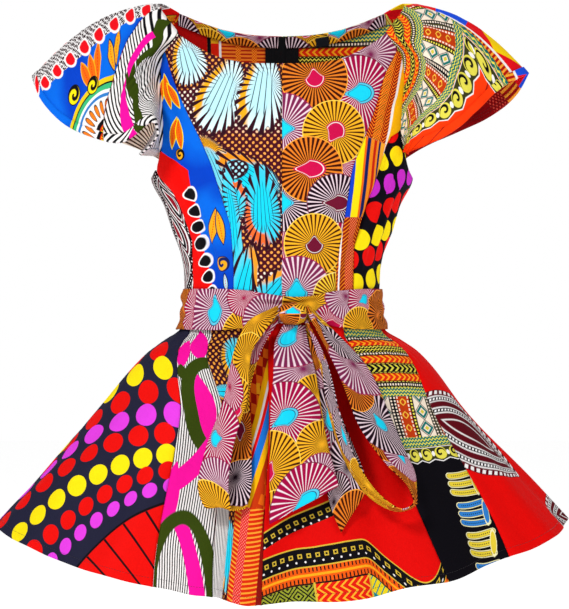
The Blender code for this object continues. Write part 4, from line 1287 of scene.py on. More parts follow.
# Prints of the peplum
# Rows of discs: reach, its drift with the angle, disc radius, dye, first disc and step in degrees
DISC_MIDDLE, DISC_ANGLE = (418, -456), math.radians(145)
ORCHID = dye("e23fe0")
DISC_ROWS = (
    (572, 100, 17, RED, 134.0, 5.3), (544, 95, 16.2, YELLOW, 133.2, 5.3), (513, 85, 15.8, RED, 136.6, 5.1),
    (483, 80, 14.6, ORCHID, 137.4, 4.62), (453, 45, 13.2, RED, 138.9, 4.3),
    (419, -5, 12.3, YELLOW, 138.5, 4.06), (392, -50, 10.6, RED, 138.35, 3.97),
    (369, -75, 8.8, ORCHID, 137.7, 3.77),
)


def discs_peplum():
    """Rows of discs round a far point under the hem, and a red sector inside them."""
    p = Print("disc_print_peplum", dye("232338"))
    place = p.flat.at(*DISC_MIDDLE)
    from_middle = place.a - DISC_ANGLE
    spread = (from_middle * -0.7 + 1.0) & 1.0
    for reach, drift, radius, colour, first, step in DISC_ROWS:
        half = math.radians(step) / 2
        y = (((place.a - math.radians(first) + half) % (2 * half)) - half) * reach
        x = (place.r - reach - from_middle * drift) * spread
        p.paint((x * x + y * y).below(radius * radius, radius), colour)
    inside = place.r - 345 - from_middle * -110
    p.paint(inside.below(0, 1), BLACK)
    p.paint(inside.below(-3, 1), RED)
    p.paint(inside.below(-3, 1) & (place.a - place.r * 0.00135).sine(math.radians(5.5)).above(0.955, 0.05),
            BLACK)
    return p.finish()


RING_WIDTH = 17


def lines(name, chart, turned=0, pitch=3.0, wider=None):
    """Fine black lines on white, with plain bands and lenses over them."""
    p = Print(name, dye("f4f0ee"))
    wavy = p.flat.nudged(90, 4).at(0, 0, turned)
    across = wavy.x
    if wider:
        edge, share = wider
        across = (across | edge) + ((across & edge) - edge) * share
    p.paint(across.sine(pitch).above(0.2, 0.5), BLACK)
    for kind, x, y, tilt, wide, tall, colour in chart:
        place = p.flat.at(x, y, tilt)
        if kind == "lens":
            seen = place.at(0, 0, 0, wide, tall)
            p.paint((abs(seen.x) + seen.y * seen.y).below(1.0, 0.06), colour)
        elif kind == "band":
            p.paint(abs(place.x + (place.y * place.y) * (0.12 / tall)).below(wide)
                    & abs(place.y).below(tall), colour)
        else:
            inside = place.at(0, 0, 0, wide - RING_WIDTH, tall - RING_WIDTH).r.above(1, 0.02)
            p.paint(place.at(0, 0, 0, wide, tall).r.below(1, 0.02) & inside & place.y.above(0, 0.5), colour)
    return p.finish()


def stripes_peplum():
    return lines("line_print_peplum", (
        ("lens", 8, -48, 15, 13, 26, MAGENTA), ("lens", -13, -64, -8, 10, 24, MAGENTA),
        ("lens", -16, -92, 0, 8, 12, OLIVE), ("lens", 5, -139, 0, 13, 46, MAGENTA),
        ("ring", 22, -132, 90, 66, 44, OLIVE), ("band", -2, -208, -38, 11, 44, MAGENTA),
        ("lens", -28, -256, -5, 12, 52, MAGENTA), ("band", 8, -316, 20, 9, 50, MAGENTA),
        ("ring", -1, -374, 3, 48, 112, OLIVE)))


def kente_peplum():
    p = Print("kente_print_peplum", dye("a8140a"))
    x, y = p.flat.x, p.flat.y
    steps = ((x - 3) % 18).below(9, 0.8) - ((y + x * 0.3) % 26).below(13, 0.8)
    p.paint(abs(steps).above(0.5, 0.3), dye("ee6a14"))
    p.paint(((x - 3) % 36).below(5) & ((y % 52).below(14)), dye("fbb01c"))
    band = p.flat.at(-2, -150, -14).x
    for start, colour in ((-2, dye("fbb90c")), (5, WHITE), (8, RED), (12, BLUE), (21, dye("fbb90c")),
                          (28, BRICK)):
        p.paint(band.above(start, 0.7), colour)
    p.paint(band.above(36, 0.7) & abs(steps).above(0.5, 0.3), dye("ee6a14"))
    low = p.flat.y.below(-244, 1)
    chevrons = p.flat.at(-4, -300, -2)
    p.paint(low, dye("d8280c"))
    p.paint(low & ((chevrons.y - abs(chevrons.x) * 0.25) % 5.6).below(2.2), dye("f6a030"))
    p.paint(low & abs(chevrons.x).below(6), dye("e01c14"))
    p.paint(low & abs(chevrons.x).below(6) & dots_mask(chevrons, 4.0, 0.8), dye("f4948a"))
    p.paint(low & chevrons.x.above(24), dye("8c1410"))
    return p.finish()


def plumes_peplum():
    p = Print("plume_print_peplum", dye("3c0e1c"))
    p.paint(dots_mask(p.flat.nudged(12, 1.6), 9.5, 2.0), dye("f2a03c"))
    for x, y, turned, wide, tall in ((20, -62, 20, 26, 34), (-8, -108, 90, 12, 26), (20, -158, 10, 26, 40),
                                     (-14, -232, -20, 22, 40), (16, -300, 10, 24, 44)):
        plume(p, x, y, turned, wide, tall, (2, tall * 0.2), 28, far=dye("7fd4e8"), side=180)
    low = p.flat.y.below(-176) & p.flat.x.below(6)
    p.paint(low, dye("f4f0ee"))
    p.paint(low & p.flat.x.sine(3.4).above(0.2, 0.5), BLACK)
    return p.finish()


def arches_peplum():
    """Dark bands with squares and beads on red, ribs under them, and a row of blocks along the hem."""
    p = Print("arch_print", dye("dc0a08"))
    ochre = dye("d8b83c")
    x = p.flat.x
    top = x.math("SMOOTH_MIN", x * 0.06 - 283, x * -1.15 - 254, 16)
    low = x.math("SMOOTH_MAX", top, x * 0 - 345, 30)
    edge = x.math("SMOOTH_MAX", low, x * 2.5 - 588, 60)
    soft = p.flat.nudged(50, 2)
    down = edge - soft.y
    slope = p.flat.at(-50, -256, 17)
    for band, along in ((down, x),
                        (12 - slope.y - slope.y.below(-7, 0.5) * 99 - slope.x.above(45, 1) * 99, slope.x)):
        p.paint(band.above(0), ochre)
        p.paint(band.above(1.6), BLACK)
        cell = (along % 10.5) - 5.2
        p.paint((abs(band - 10) | abs(cell)).below(2.6), ochre)
        p.paint((abs(band - 10) | abs(cell)).below(1.3), BLACK)
        beads(p, band, along + 5, 17, 10.5, 1.2, WHITE)
    p.paint(down.above(22), ochre)
    p.paint(down.above(23.5), dye("ec5a12"))
    p.paint(down.between(24, 41) & (x % 4.6).below(1.6) & abs(down - 32).above(3.4), BLACK)
    p.paint(down.between(30.6, 33.4), dye("f8a81c"))
    hem = down.above(41) & x.below(64)
    p.paint(down.above(41), BLACK)
    place = p.flat.at(0, -340, 2)
    p.paint(hem & down.above(43), dye("e02010"))
    arrows = (place.x + place.y.zigzag(14) * 1.2) % 9.0
    p.paint(hem & down.above(43) & arrows.below(3), dye("fcb02c"))
    gem = (abs((place.x % 22) - 11) + abs((place.y % 22) - 11)) % 5.0
    left = hem & down.above(43) & x.below(-46)
    p.paint(left, dye("98a030"))
    p.paint(left & gem.below(2.2), BLACK)
    right = hem & down.above(43) & x.above(20)
    p.paint(right, dye("14868c"))
    p.paint(right & abs(p.flat.at(40, -350, -40).y).below(8)
            & ((p.flat.at(40, -350, -40).x % 7).above(1.6)), dye("f0d81c"))
    p.paint(hem & abs(x + 46).below(1.2) | hem & abs(x - 20).below(1.2), ochre)
    return p.finish()


WOVEN_ROWS = (
    (-30, -12, "zig", dye("14706c"), dye("e8dc50")), (-36, -30, "bead", BLACK, CREAM),
    (-47, -36, "arrow", dye("e02810"), dye("fca81c")), (-57, -47, "zig", BLACK, dye("e8dc50")),
    (-62, -57, "bead", BLACK, CREAM), (-74, -62, "arrow", dye("e02810"), dye("fca81c")),
    (-86, -75, "arrow", BLACK, dye("d8d048")), (-98, -87, "arrow", dye("e02810"), dye("fca81c")),
    (-105, -99, "bead", BLACK, CREAM), (-117, -106, "zig", dye("14706c"), dye("e8dc50")),
    (-180, -168, "zig", dye("14706c"), dye("e8dc50")))
WOVEN_COLUMNS = (
    (0, 5, "bead", BLACK, CREAM), (5, 25, "chain", dye("c03a10"), dye("f0b83c")),
    (25, 31, "bead", BLACK, dye("e8dc50")), (31, 52, "gem", CREAM, dye("14706c")),
    (52, 58, "bead", BLACK, CREAM))


def woven(p, mask, across, along, start, stop, kind, ground, colour):
    """One woven-looking row of zigzags, arrows, beads, lozenges or a chain."""
    row = across.between(start, stop) & mask
    half, middle = (stop - start) / 2, (start + stop) / 2
    p.paint(row, ground)
    if kind == "zig":
        p.paint(row & ((across + along.zigzag(5)) % 4.4).below(1.7), colour)
    elif kind == "arrow":
        p.paint(row & ((along + abs(across - middle) * 1.1) % 8.0).below(3.2), colour)
        p.paint(row & abs(abs(across - middle) - half).below(0.9), BLACK)
    elif kind == "bead":
        p.paint(row & abs(across - middle).below(1.3) & (along % 4.0).below(2.2), colour)
    elif kind == "gem":
        cell = abs(across - middle) + abs((along % (2 * half)) - half)
        p.paint(row & cell.between(half * 0.5, half * 0.88), colour)
        p.paint(row & cell.below(half * 0.3), dye("d8c840"))
        p.paint(row & (abs(cell - half * 1.02)).below(0.6), BLACK)
    else:
        p.paint(row & abs(abs(across - middle) - along.sine(16) * half * 0.4).below(1.2), colour)
        p.paint(row & abs(abs(across - middle) - half + 2).below(1.0) & (along % 5.0).below(3.0), CREAM)


def scrolls(p, value, along, middle, wide):
    """A strip of winding scrolls with a scalloped light edge; value grows towards the scallops."""
    pitch = wide * 1.15
    x, y = value - middle, (along % pitch) - pitch / 2
    scallop = value - middle - wide / 2 + abs(y) * 0.35
    p.paint(value.above(middle - wide / 2) & scallop.below(2.6), WHITE)
    p.paint(value.above(middle - wide / 2 + 0.8) & scallop.below(1.4), dye("3a3a1c"))
    place = p.point(x, y)
    p.paint(place.r.below(wide * 0.46), dye("e2d850"))
    wound = (place.a * (1 / (2 * math.pi)) + place.r * (2.0 / wide)) % 1.0
    p.paint(place.r.below(wide * 0.40) & wound.below(0.34, 0.12), BLACK)
    p.paint(place.at(0, pitch / 2, 0, 0.8, 0.5).r.below(wide * 0.24), WHITE)
    p.paint(place.at(0, -pitch / 2, 0, 0.8, 0.5).r.below(wide * 0.24), WHITE)


def fingers(p, x, y, turned, colour):
    """Three round-ended fingers side by side, joined at one end, with a light line round them."""
    hand = p.flat.at(x, y, turned)
    for step in (-1, 0, 1):
        place = hand.at(0, 11.5 * step)
        bent = place.y + (place.x - 17).sine(52) * 1.6 + place.x * 0.08 * step
        past = (abs(place.x) - 15) | 0.0
        away = (bent * bent + past * past).root()
        p.paint(away.below(4.3), dye("f2ecb8"))
        p.paint(away.below(3.3), BLACK)
        p.paint(away.below(2.9), colour)
        p.paint(abs(bent).below(0.6) & (place.x % 2.4).below(1.2) & abs(place.x).below(13), BLACK)
    for reach, shade in ((1.12, dye("f2ecb8")), (0.92, colour)):
        p.paint(hand.at(-15, 0, 0, 3.6, 15).r.below(reach, 0.1), shade)


def bands(p, across, along):
    """Woven-looking bands, and a border of scrolls under them; across counts down from 0."""
    middle = across.between(-168, -117)
    upper = across.above(-181)
    p.paint(upper, dye("c8c050"))
    p.paint(upper & along.zigzag(6).below(1.2), BLACK)
    for row in WOVEN_ROWS:
        woven(p, upper, across, along, *row)
    for column in WOVEN_COLUMNS:
        woven(p, middle, along % 58, across, *column)
    scrolls(p, across * -1, along, 190, 17)


def bands_peplum():
    """Bands and scrolls above, and black with bent fingers under them."""
    p = Print("band_print_peplum", dye("0c0a10"))
    place = p.flat.at(0, 0, -8)
    bands(p, place.y, place.x)
    for x, y, turned, colour in ((31, -238, -12, dye("e0c838")), (26, -276, -14, dye("2f7cc8")),
                                 (20, -313, -16, dye("e0c838")), (13, -350, -18, dye("2f7cc8"))):
        fingers(p, x, y, 180 + turned, colour)
    return p.finish()


def paisley_peplum():
    """A large pointed leaf with dotted edges on red."""
    p = Print("paisley_print", dye("e00806"))
    wine = dye("5c0c18")
    shades = ((1.16, wine), (0.98, WHITE), (0.94, BLACK), (0.82, WHITE), (0.79, wine), (0.62, WHITE),
              (0.58, BLACK), (0.46, WHITE), (0.42, wine), (0.24, WHITE), (0.2, wine))
    for x, y, turned, length, width in ((-58, -180, -60, 176, 96), (32, -338, -20, 120, 66)):
        place = p.flat.at(x, y, turned)
        away = nest(p, place, length, width, shades)
        for edge, pitch, size in ((1.08, 8.0, 0.055), (0.88, 4.4, 0.035), (0.52, 4.4, 0.03)):
            across = abs(away - edge).below(size, size / 3)
            p.paint(across & (place.x % pitch).below(pitch * 0.55), WHITE)
    return p.finish()


# Prints of the sleeves
def stripes_sleeve():
    return lines("line_print_sleeve", (
        ("band", 52, -62, -86, 6.5, 20, OLIVE), ("band", 35, -84, 0, 7, 28, OLIVE),
        ("band", 60, -20, -52, 6.5, 24, OLIVE), ("band", 54, -40, 34, 4, 14, OLIVE),
        ("band", 70, -42, 8, 5.5, 20, MAGENTA), ("lens", 56, -86, -36, 9, 26, MAGENTA)),
        turned=-68, pitch=3.9, wider=(56, 0.45))


def tendrils_sleeve():
    """Blue with tendrils, a speckled edge with drops, and bright arcs: a generic layout."""
    p = waved_blue("tendril_print_sleeve")
    arc = p.flat.at(-207, -78, 0, 0.86, 0.86)
    for edge, colour in ((84, dye("e8c81c")), (78, BLACK), (76, dye("3cb878")), (70, WHITE),
                         (66, dye("2f7cc8")), (62, WHITE), (38, BLACK), (33, dye("e83c0c"))):
        p.paint(arc.r.below(edge), colour)
    x, y = arc.r - 50, ((arc.a * 50) % 10) - 5
    away = (x * x) * 0.14 + y * y
    p.paint(away.below(12, 4), BLACK)
    p.paint(away.below(7, 4), dye("f07c1c"))
    p.paint(arc.r.below(31) & ((arc.a * 30) % 5).below(2) & arc.r.above(20), YELLOW)
    foliage(p, (
            ("leaf", -120, -52, 196, 36, ORANGE, GOLD), ("leaf", -124, -62, 184, 38, ORANGE, GOLD),
            ("leaf", -120, -71, 172, 34, ORANGE, GOLD), ("leaf", -128, -22, 196, 32, GOLD, NAVY),
            ("leaf", -130, -31, 180, 32, GOLD, NAVY), ("curl", -124, -94, 0, 9, YELLOW, BLACK),
            ("curl", -136, -66, 0, 8, YELLOW, BLACK)))
    strip = p.flat.at(-90, -65, 14.3)
    p.paint(strip.x.above(-6.5), WHITE)
    p.paint(strip.x.above(-6.5) & dots_mask(strip.nudged(5, 2.4), 5.2, 1.6), dye("2a0c14"))
    p.paint(strip.x.above(30), WHITE)
    p.paint(strip.x.above(32), RED)
    for x, y in ((52, -40), (60, 10), (50, 58)):
        leaf(p, strip.at(x, y, 80), 34, 9, GOLD, BLACK, vein=RED)
    p.paint(strip.x.above(150), CREAM)
    p.paint(strip.x.above(150) & strip.y.sine(11).above(0.1, 0.5), dye("4a2c1c"))
    x = strip.x - 1.6
    along = ((strip.y + strip.x * 0.81 + 33.2) % 21.5) - 10.8
    wide, tall = along * 0.14 - x * 0.084, along * -0.09 - x * 0.065
    wide = wide * ((tall * -0.6) | 0.0) + wide
    away = wide * wide + tall * tall
    p.paint(away.below(1.8, 0.3), WHITE)
    p.paint(away.below(1.0, 0.25), dye("e8101c"))
    return p.finish()


def bands_sleeve():
    """The bands bent round the shoulder, over plain orange with a few dark lines."""
    p = Print("band_print_sleeve", dye("ff3c0c"))
    edge = p.flat.at(-20, 60)
    p.paint(edge.r.above(136) & edge.r.sine(18).above(0.97, 0.05), dye("a01c10"))
    reach, side = (edge.r | 138) + ((edge.r & 138) - 138) * 1.7 + 44, p.flat.x + 272
    bands(p, (reach & side) * -1, edge.a * 110 + p.flat.y * (reach - side).above(0))
    return p.finish()


def kente_sleeve():
    p = Print("kente_print_sleeve", dye("b01008"))
    place = p.flat.at(122, -85, 92)
    along = (place.x + 60) % 110
    p.paint(place.y.above(1), dye("e8101c"))
    p.paint(place.y.above(1) & (abs(along - 52) + abs(place.y - 26) * 1.1).below(28), dye("fbd40c"))
    p.paint(place.y.above(1) & abs(along - 52).above(38), dye("1c50e0"))
    # Past the red band the reds turn deeper: the print's striped and dotted bands, darkened by painted shade
    # where the sleeve turns away.
    p.paint(place.y.above(60), dye("a01010"))
    p.paint(place.y.above(60) & place.x.sine(5).above(0.1, 0.4), dye("f6a030"))
    p.paint(place.y.above(88), dye("84080e"))
    p.paint(place.y.between(88, 112) & dots_mask(place, 5, 1.0), dye("d84a3c"))
    p.paint(place.y.below(-1) & place.x.sine(5).above(0.1, 0.4), dye("f6a030"))
    p.paint(abs(place.y).below(2.0), WHITE)
    return p.finish()


# Prints of the tie, and of the pieces that lie behind
BELT_FANS = (
    (410, -366, 0, 30, "amber"), (440, -366, 90, 30, "rose"), (474, -366, 90, 40, "lilac", "cyan", 18, 10),
    (514, -390, 60, 26, "sun"), (512, -352, 250, 22, "rose"), (541, -376, 90, 30, "lilac", "cyan", 10, 8),
    (588, -360, 270, 32, "sun"), (614, -384, 0, 26, "rose", "crimson", 13, 8), (634, -350, 90, 28, "lilac"),
    (664, -354, 200, 26, "rose", "cyan", 9, 6), (655, -390, 90, 28, "sun"), (700, -372, 180, 30, "amber"))


def fans_belt():
    p = Print("fan_print_belt", dye("a30a46"))
    p.flat = p.flat.at(550, -366).tiled(318, 300).at(-550, 366)
    fans(p, BELT_FANS)
    return p.finish()


def fans_repeat():
    p = Print("fan_print", dye("a30a46"))
    fan_ground(p, eyes=True)
    return p.finish()


FRONT_TAIL_FANS = (
    (-24, -40, 20, 40, "sun"), (10, -60, 100, 40, "lilac"), (-3, -14, 60, 44, "lilac", "cyan", 16, 10),
    (-34, -110, 20, 34, "sun"), (26, -96, 140, 30, "sun"), (-14, -118, 200, 44, "rose", "cyan", 17, 10),
    (30, -160, 140, 34, "sun"), (-40, -168, 60, 42, "sun", "crimson", 12, 9), (22, -200, 60, 30, "lilac"),
    (-44, -222, 60, 34, "sun"), (0, -222, 195, 46, "rose", "cyan", 19, 11), (-20, -262, 60, 34, "sun"))
BACK_TAIL_FANS = (
    (0, -50, 90, 36, "amber"), (16, -90, 90, 30, "lilac"), (8, -126, 90, 40, "wine", "cyan", 16, 9),
    (-30, -140, 60, 30, "rose"), (10, -190, 120, 38, "wine"), (-24, -206, 90, 30, "wine"),
    (-14, -250, 90, 40, "amber"))
RIGHT_LOOP_FANS = (
    (-14, -30, 90, 40, "sun"), (14, -76, 60, 36, "sun"), (6, -140, 90, 36, "sun", "crimson", 13, 11),
    (-14, -126, 90, 28, "rose"), (-8, -186, 30, 42, "rose", "cyan", 10, 9), (10, -236, 60, 34, "lilac"),
    (4, -262, 60, 30, "sun"), (0, -310, 90, 38, "wine"), (2, -366, 90, 36, "amber", "wine", 13, 9),
    (0, -420, 90, 34, "sun"), (0, -480, 90, 34, "rose"))
LEFT_LOOP_FANS = (
    (0, -40, 90, 34, "lilac"), (-6, -100, 60, 36, "wine"), (-18, -160, 90, 34, "wine", "cyan", 12, 8),
    (-20, -224, 30, 36, "sun"), (8, -290, 60, 34, "amber"), (10, -350, 90, 30, "lilac", "cyan", 9, 7),
    (6, -396, 250, 44, "wine", "cyan", 12, 8), (-14, -440, 90, 30, "amber"), (4, -470, 90, 40, "lilac"),
    (10, -510, 90, 34, "wine"))


def fans_on(name, ground, chart):
    p = Print(name, ground)
    fan_ground(p)
    fans(p, chart)
    return p.finish()


def leaves_back():
    p = Print("leaf_print", dye("14101a"))
    for x, y, colour in ((0, 0, YELLOW), (22, 18, dye("2a6cc0")), (0, 36, RED)):
        place = p.flat.at(x, y).tiled(44, 54)
        for turned in (65, 90, 115):
            leaf(p, place.at(-0.13 * (turned - 90), 0, turned), 24, 6, colour, BLACK, vein=BLACK)
    return p.finish()


def bands_repeat():
    p = Print("band_print", dye("c8c050"))
    down = p.flat.y % 190
    for start, stop, *row in WOVEN_ROWS + tuple((a - 168, b - 168, *r) for a, b, *r in WOVEN_COLUMNS):
        woven(p, down.above(-1), down, p.flat.x, start + 182, stop + 182, *row)
    return p.finish()


def kente_repeat():
    """Orange ribs with checked columns, and plain bars: also what shows inside the back neck."""
    p = Print("kente_print", dye("f07c24"))
    x, y = p.flat.x, p.flat.y
    p.paint((y % 4.4).below(1.9), dye("b0200c"))
    wide = (x - 12) % 124
    for middle in (22, 42):
        column = abs(wide - middle).below(3.0)
        p.paint(column, dye("f0a024"))
        p.paint(column & ((x % 3.0).below(1.5) + (y % 3.0).below(1.5) - 1).between(-0.5, 0.5), dye("e01810"))
    for start, stop, colour in ((63, 66, WHITE), (66, 76, dye("d8200c")), (76, 81, BLACK),
                                (81, 124, dye("b80c0a"))):
        p.paint(wide.between(start, stop), colour)
    p.paint(wide.between(66, 76) & (wide - 66 - (y % 40) * 0.35).above(0), dye("e8a81c"))
    return p.finish()


def plain_cloth(name, colour, roughness=0.7):
    return Print(name, colour).finish(roughness=roughness)


def smooth(name, colour, roughness, metallic=0.0):
    material = bpy.data.materials.new(name)
    material.use_nodes = True
    shader = material.node_tree.nodes["Principled BSDF"]
    shader.inputs["Base Color"].default_value = colour
    shader.inputs["Roughness"].default_value = roughness
    shader.inputs["Metallic"].default_value = metallic
    return material


# Sewing: rows of stitches, the zip and its slider
THREAD = 0.00022


def along_edge(node, distance, bottom=False):
    """A line along a panel's top or bottom edge, with the way out of the cloth at each place."""
    points = GRIDS[node]
    out = outward(points)
    if bottom:
        points, out = points[::-1], out[::-1]
    runs = run_lengths(points, 0)
    columns = np.arange(points.shape[1])
    rows = np.array([np.searchsorted(runs[:, i], distance) for i in columns]).clip(1, len(points) - 1)
    low, high = runs[rows - 1, columns], runs[rows, columns]
    share = ((distance - low) / (high - low))[:, None]
    return mix(points[rows - 1, columns], points[rows, columns], share), out[rows, columns]


def stitches(name, lines, colour, length=0.0021, gap=0.0011):
    """Short rounded stitches along lines on the cloth, half sunk in it."""
    points, faces = [], []
    for line, out in lines:
        runs = np.concatenate([[0], np.cumsum(np.linalg.norm(np.diff(line, axis=0), axis=1))])
        starts = np.arange(gap, runs[-1] - length, length + gap)
        for start in starts:
            first, last = ([np.interp(at, runs, line[:, k]) for k in range(3)]
                           for at in (start, start + length))
            first, last = np.array(first), np.array(last)
            up = np.array([np.interp(start, runs, out[:, k]) for k in range(3)])
            along = (last - first) / np.linalg.norm(last - first)
            side = np.cross(along, up)
            base = len(points)
            points.append(first)
            for place in (first + along * THREAD, last - along * THREAD):
                points += [place + side * THREAD, place + up * THREAD * 1.3, place - side * THREAD]
            points.append(last)
            faces += [(base, base + 1, base + 2), (base, base + 2, base + 3),
                      (base + 1, base + 4, base + 5, base + 2), (base + 2, base + 5, base + 6, base + 3),
                      (base + 7, base + 5, base + 4), (base + 7, base + 6, base + 5)]
    new_piece(name, points, faces, smooth=False).data.materials.append(colour)


def zip_in_back():
    """Two ribbed tapes that meet at the middle back, over the whole zip."""
    down = np.linspace(0, 0.285, 140)[:, None]
    across = np.linspace(-0.0158, 0.0158, 49)[None]
    flat = np.abs(across) + 0 * down
    right = inside_back("right", flat, down + 0.0004, WALL + 0.0004)
    left = inside_back("left", flat, down + 0.0004, WALL + 0.0004)
    points = np.where((across < 0)[..., None], right, left)
    coil = 0.0007 * bell(np.abs(across) - 0.0016, 0.0012) * (1 + 0.5 * np.sin(down / 0.0014 * 2 * np.pi))
    ribs = 0.00018 * np.cos(across / 0.0026 * 2 * np.pi) + coil
    inwards = np.stack([0 * across + 0 * down, -np.ones_like(flat), 0 * flat], -1)
    points = points + inwards * ribs[..., None]
    points = points[:, ::-1]
    cloth("zip_tape", points, strip_cut(points), wall=0.0009)


def slider_on_zip(material):
    """The slider lies along the slope of the back, with a low bridge on it where a pull would hang."""
    low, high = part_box("zip_slider")
    middle, half_length, half_width = (low[2] + high[2]) / 2, (high[2] - low[2]) / 2, (high[0] - low[0]) / 2
    around = np.linspace(0, 2 * np.pi, 25)[None, :-1]
    across, up = squared(np.cos(around), 0.5), squared(np.sin(around), 0.5)

    def on_back(along, sideways, rise):
        height = middle + along * half_length + 0 * around
        slope = (torso_point(90.0, height + 0.001) - torso_point(90.0, height - 0.001))[..., 1] / 0.002
        out = np.stack([0 * slope, 1 + 0 * slope, -slope], -1) / np.sqrt(1 + slope ** 2)[..., None]
        place = torso_point(90.0, height) + out * rise[..., None]
        return place + np.stack([sideways, 0 * sideways, 0 * sideways], -1)

    along = np.sin(np.linspace(-1, 1, 21) * 1.4)[:, None]
    bulge = (1 - np.abs(along) ** 5) ** 0.2
    body = on_back(along, across * half_width * (0.86 + 0.14 * along) * bulge, 0.0015 + up * 0.0012 * bulge)
    swing = np.linspace(0, np.pi, 17)[:, None]
    bridge = on_back(-np.cos(swing) * 0.6, across * 0.0008 + 0 * swing,
                     0.0020 + 0.0014 * np.sin(swing) + up * 0.0004)
    points, faces = [], []
    for rows in (body, bridge):
        base, count = len(points), rows.shape[1]
        points += rows.reshape(-1, 3).tolist()
        faces += [(a, d, c, b) for a, b, c, d in grid_faces(len(rows), count, closed=True, first=base)]
        faces += [tuple(range(base + count - 1, base - 1, -1)),
                  tuple(range(len(points) - count, len(points)))]
    piece = new_piece("zip_slider_body", points, faces)
    piece.data.materials.append(material)
    piece.data.set_sharp_from_angle(angle=0.9)
    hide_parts("zip_slider")


# Making every piece
make_bodice()
make_peplum()
make_sleeves()
make_belt()
make_knot()
make_loops()
make_tails()
make_neck_inside()
zip_in_back()


def dress():
    """The print that each piece is cut from."""
    repeat, kente, bands, leaves = fans_repeat(), kente_repeat(), bands_repeat(), leaves_back()
    stripes = lines("line_print_back", (
        ("lens", -120, -150, -10, 12, 44, MAGENTA), ("ring", -120, -280, 4, 44, 108, OLIVE),
        ("band", -150, -230, 24, 10, 60, MAGENTA), ("lens", -170, -300, 8, 12, 44, MAGENTA)))
    blue = tendrils("tendril_print_back", 4, 10, (
        ("leaf", -30, -120, 80, 40, ORANGE, YELLOW), ("leaf", -44, -122, 100, 40, ORANGE, YELLOW),
        ("leaf", -50, -200, 100, 40, GOLD, NAVY), ("leaf", 40, -160, 80, 36, YELLOW, BLACK),
        ("curl", -70, -160, 0, 10, YELLOW, BLACK), ("curl", 50, -230, 0, 10, YELLOW, BLACK),
        ("leaf", -20, -290, 90, 44, ORANGE, YELLOW), ("leaf", -40, -296, 100, 44, ORANGE, YELLOW)))
    return {
        "front_centre_right": plumes_front(), "front_centre_left": fans_front(),
        "front_side_right": tendrils_front(), "front_side_left": kente_front(),
        "side_right": paisley_side(), "side_left": discs_side(), "back_centre_right": kente,
        "back_centre_left": bands, "back_side_right": stripes, "back_side_left": leaves,
        "sleeve_right_front": stripes_sleeve(), "sleeve_right_back": tendrils_sleeve(),
        "sleeve_left_front": bands_sleeve(), "sleeve_left_back": kente_sleeve(), "peplum_back_fans": repeat,
        "peplum_back_blue": blue, "peplum_back_bars": kente, "peplum_back_leaves": leaves,
        "peplum_dots": discs_peplum(), "peplum_stripes": stripes_peplum(), "peplum_plumes": plumes_peplum(),
        "peplum_kente": kente_peplum(), "peplum_arches": arches_peplum(), "peplum_bands": bands_peplum(),
        "peplum_paisley": paisley_peplum(), "belt_band": fans_belt(), "bow_knot": repeat,
        "bow_tail_front": fans_on("fan_print_front_tail", dye("a30a46"), FRONT_TAIL_FANS),
        "bow_tail_back": fans_on("fan_print_back_tail", dye("5a1c30"), BACK_TAIL_FANS),
        "bow_loop_right": fans_on("fan_print_right_loop", dye("a30a46"), RIGHT_LOOP_FANS),
        "bow_loop_left": fans_on("fan_print_left_loop", dye("7a1440"), LEFT_LOOP_FANS),
        "neck_facing_right": repeat, "neck_facing_left": repeat,
        "neck_label": plain_cloth("label_black_satin", dye("1b1d22"), 0.45),
        "zip_tape": plain_cloth("zip_tape_black", dye("141416"), 0.8),
    }


for node, cotton in dress().items():
    PIECES[node].data.materials.append(cotton)
slider_on_zip(smooth("slider_black", dye("18181a"), 0.35, 0.6))

# Rows of stitches: the panels that each runs over, how far from their edges, and a panel it belongs with
THREAD_DARK = smooth("thread_dark", dye("1c161c"), 0.6)
SEWN = (
    ("neck_topstitch", ("front_centre_right", "front_centre_left", "back_centre_right", "back_centre_left"),
     (0.0062,), False, "front_centre_right"),
    ("peplum_hem_stitch", ("peplum_",), (0.0095,), True, "peplum_arches"),
    ("sleeve_hem_stitch", ("sleeve_",), (0.0060, 0.0095), True, "sleeve_right_front"))
for name, starts, distances, bottom, node in SEWN:
    panels = [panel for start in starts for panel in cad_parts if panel.startswith(start)]
    rows = [along_edge(panel, far, bottom) for panel in panels for far in distances]
    stitches(name, rows, THREAD_DARK)

# What each piece of cloth rests on, and the least share of its flat box that it fills
RESTS = {"peplum": ("belt_band",), "bow_knot": ("belt_band",), "bow_loop": ("bow_knot",),
         "bow_tail": ("bow_knot",), "belt": ("front_centre_right", "front_centre_left"),
         "sleeve_right": ("front_side_right",), "sleeve_left": ("front_side_left",),
         "neck": ("back_centre_left",), "zip": ("back_centre_left",), "back": ("back_centre_left",),
         "front": ("front_centre_left",), "side": ("front_side_left",)}
LEAST_SHARE = 0.31


def flat_size(cut, points):
    """The smallest upright box round a flat cut, and the area of the cloth that was cut."""
    first, second = points[1:, 1:] - points[:-1, :-1], points[1:, :-1] - points[:-1, 1:]
    area = float(np.linalg.norm(np.cross(first, second), axis=-1).sum() / 2)
    best = None
    for turned in np.radians(np.arange(0, 90, 3)):
        across = cut[..., 0] * math.cos(turned) + cut[..., 1] * math.sin(turned)
        up = cut[..., 1] * math.cos(turned) - cut[..., 0] * math.sin(turned)
        size = (float(np.ptp(across)), float(np.ptp(up)))
        if best is None or size[0] * size[1] < best[0] * best[1]:
            best = size
    return best, area


for node, cut in CUTS.items():
    size, area = flat_size(cut, SHEETS[node])
    under = next((others for start, others in RESTS.items() if node.startswith(start)), ())
    rests = ["cloth_" + other for other in under if other != node]
    box = size[0] * size[1]
    area = min(max(area, LEAST_SHARE * box), box)

# Stage, lights and camera
FLOOR_HALF = 9.0
FLOOR_HEIGHT = -1.05
FLOOR_GLOW = 0.62
AMBIENT = 0.38
LAMP_AIM = np.array((0, 0, -0.35))
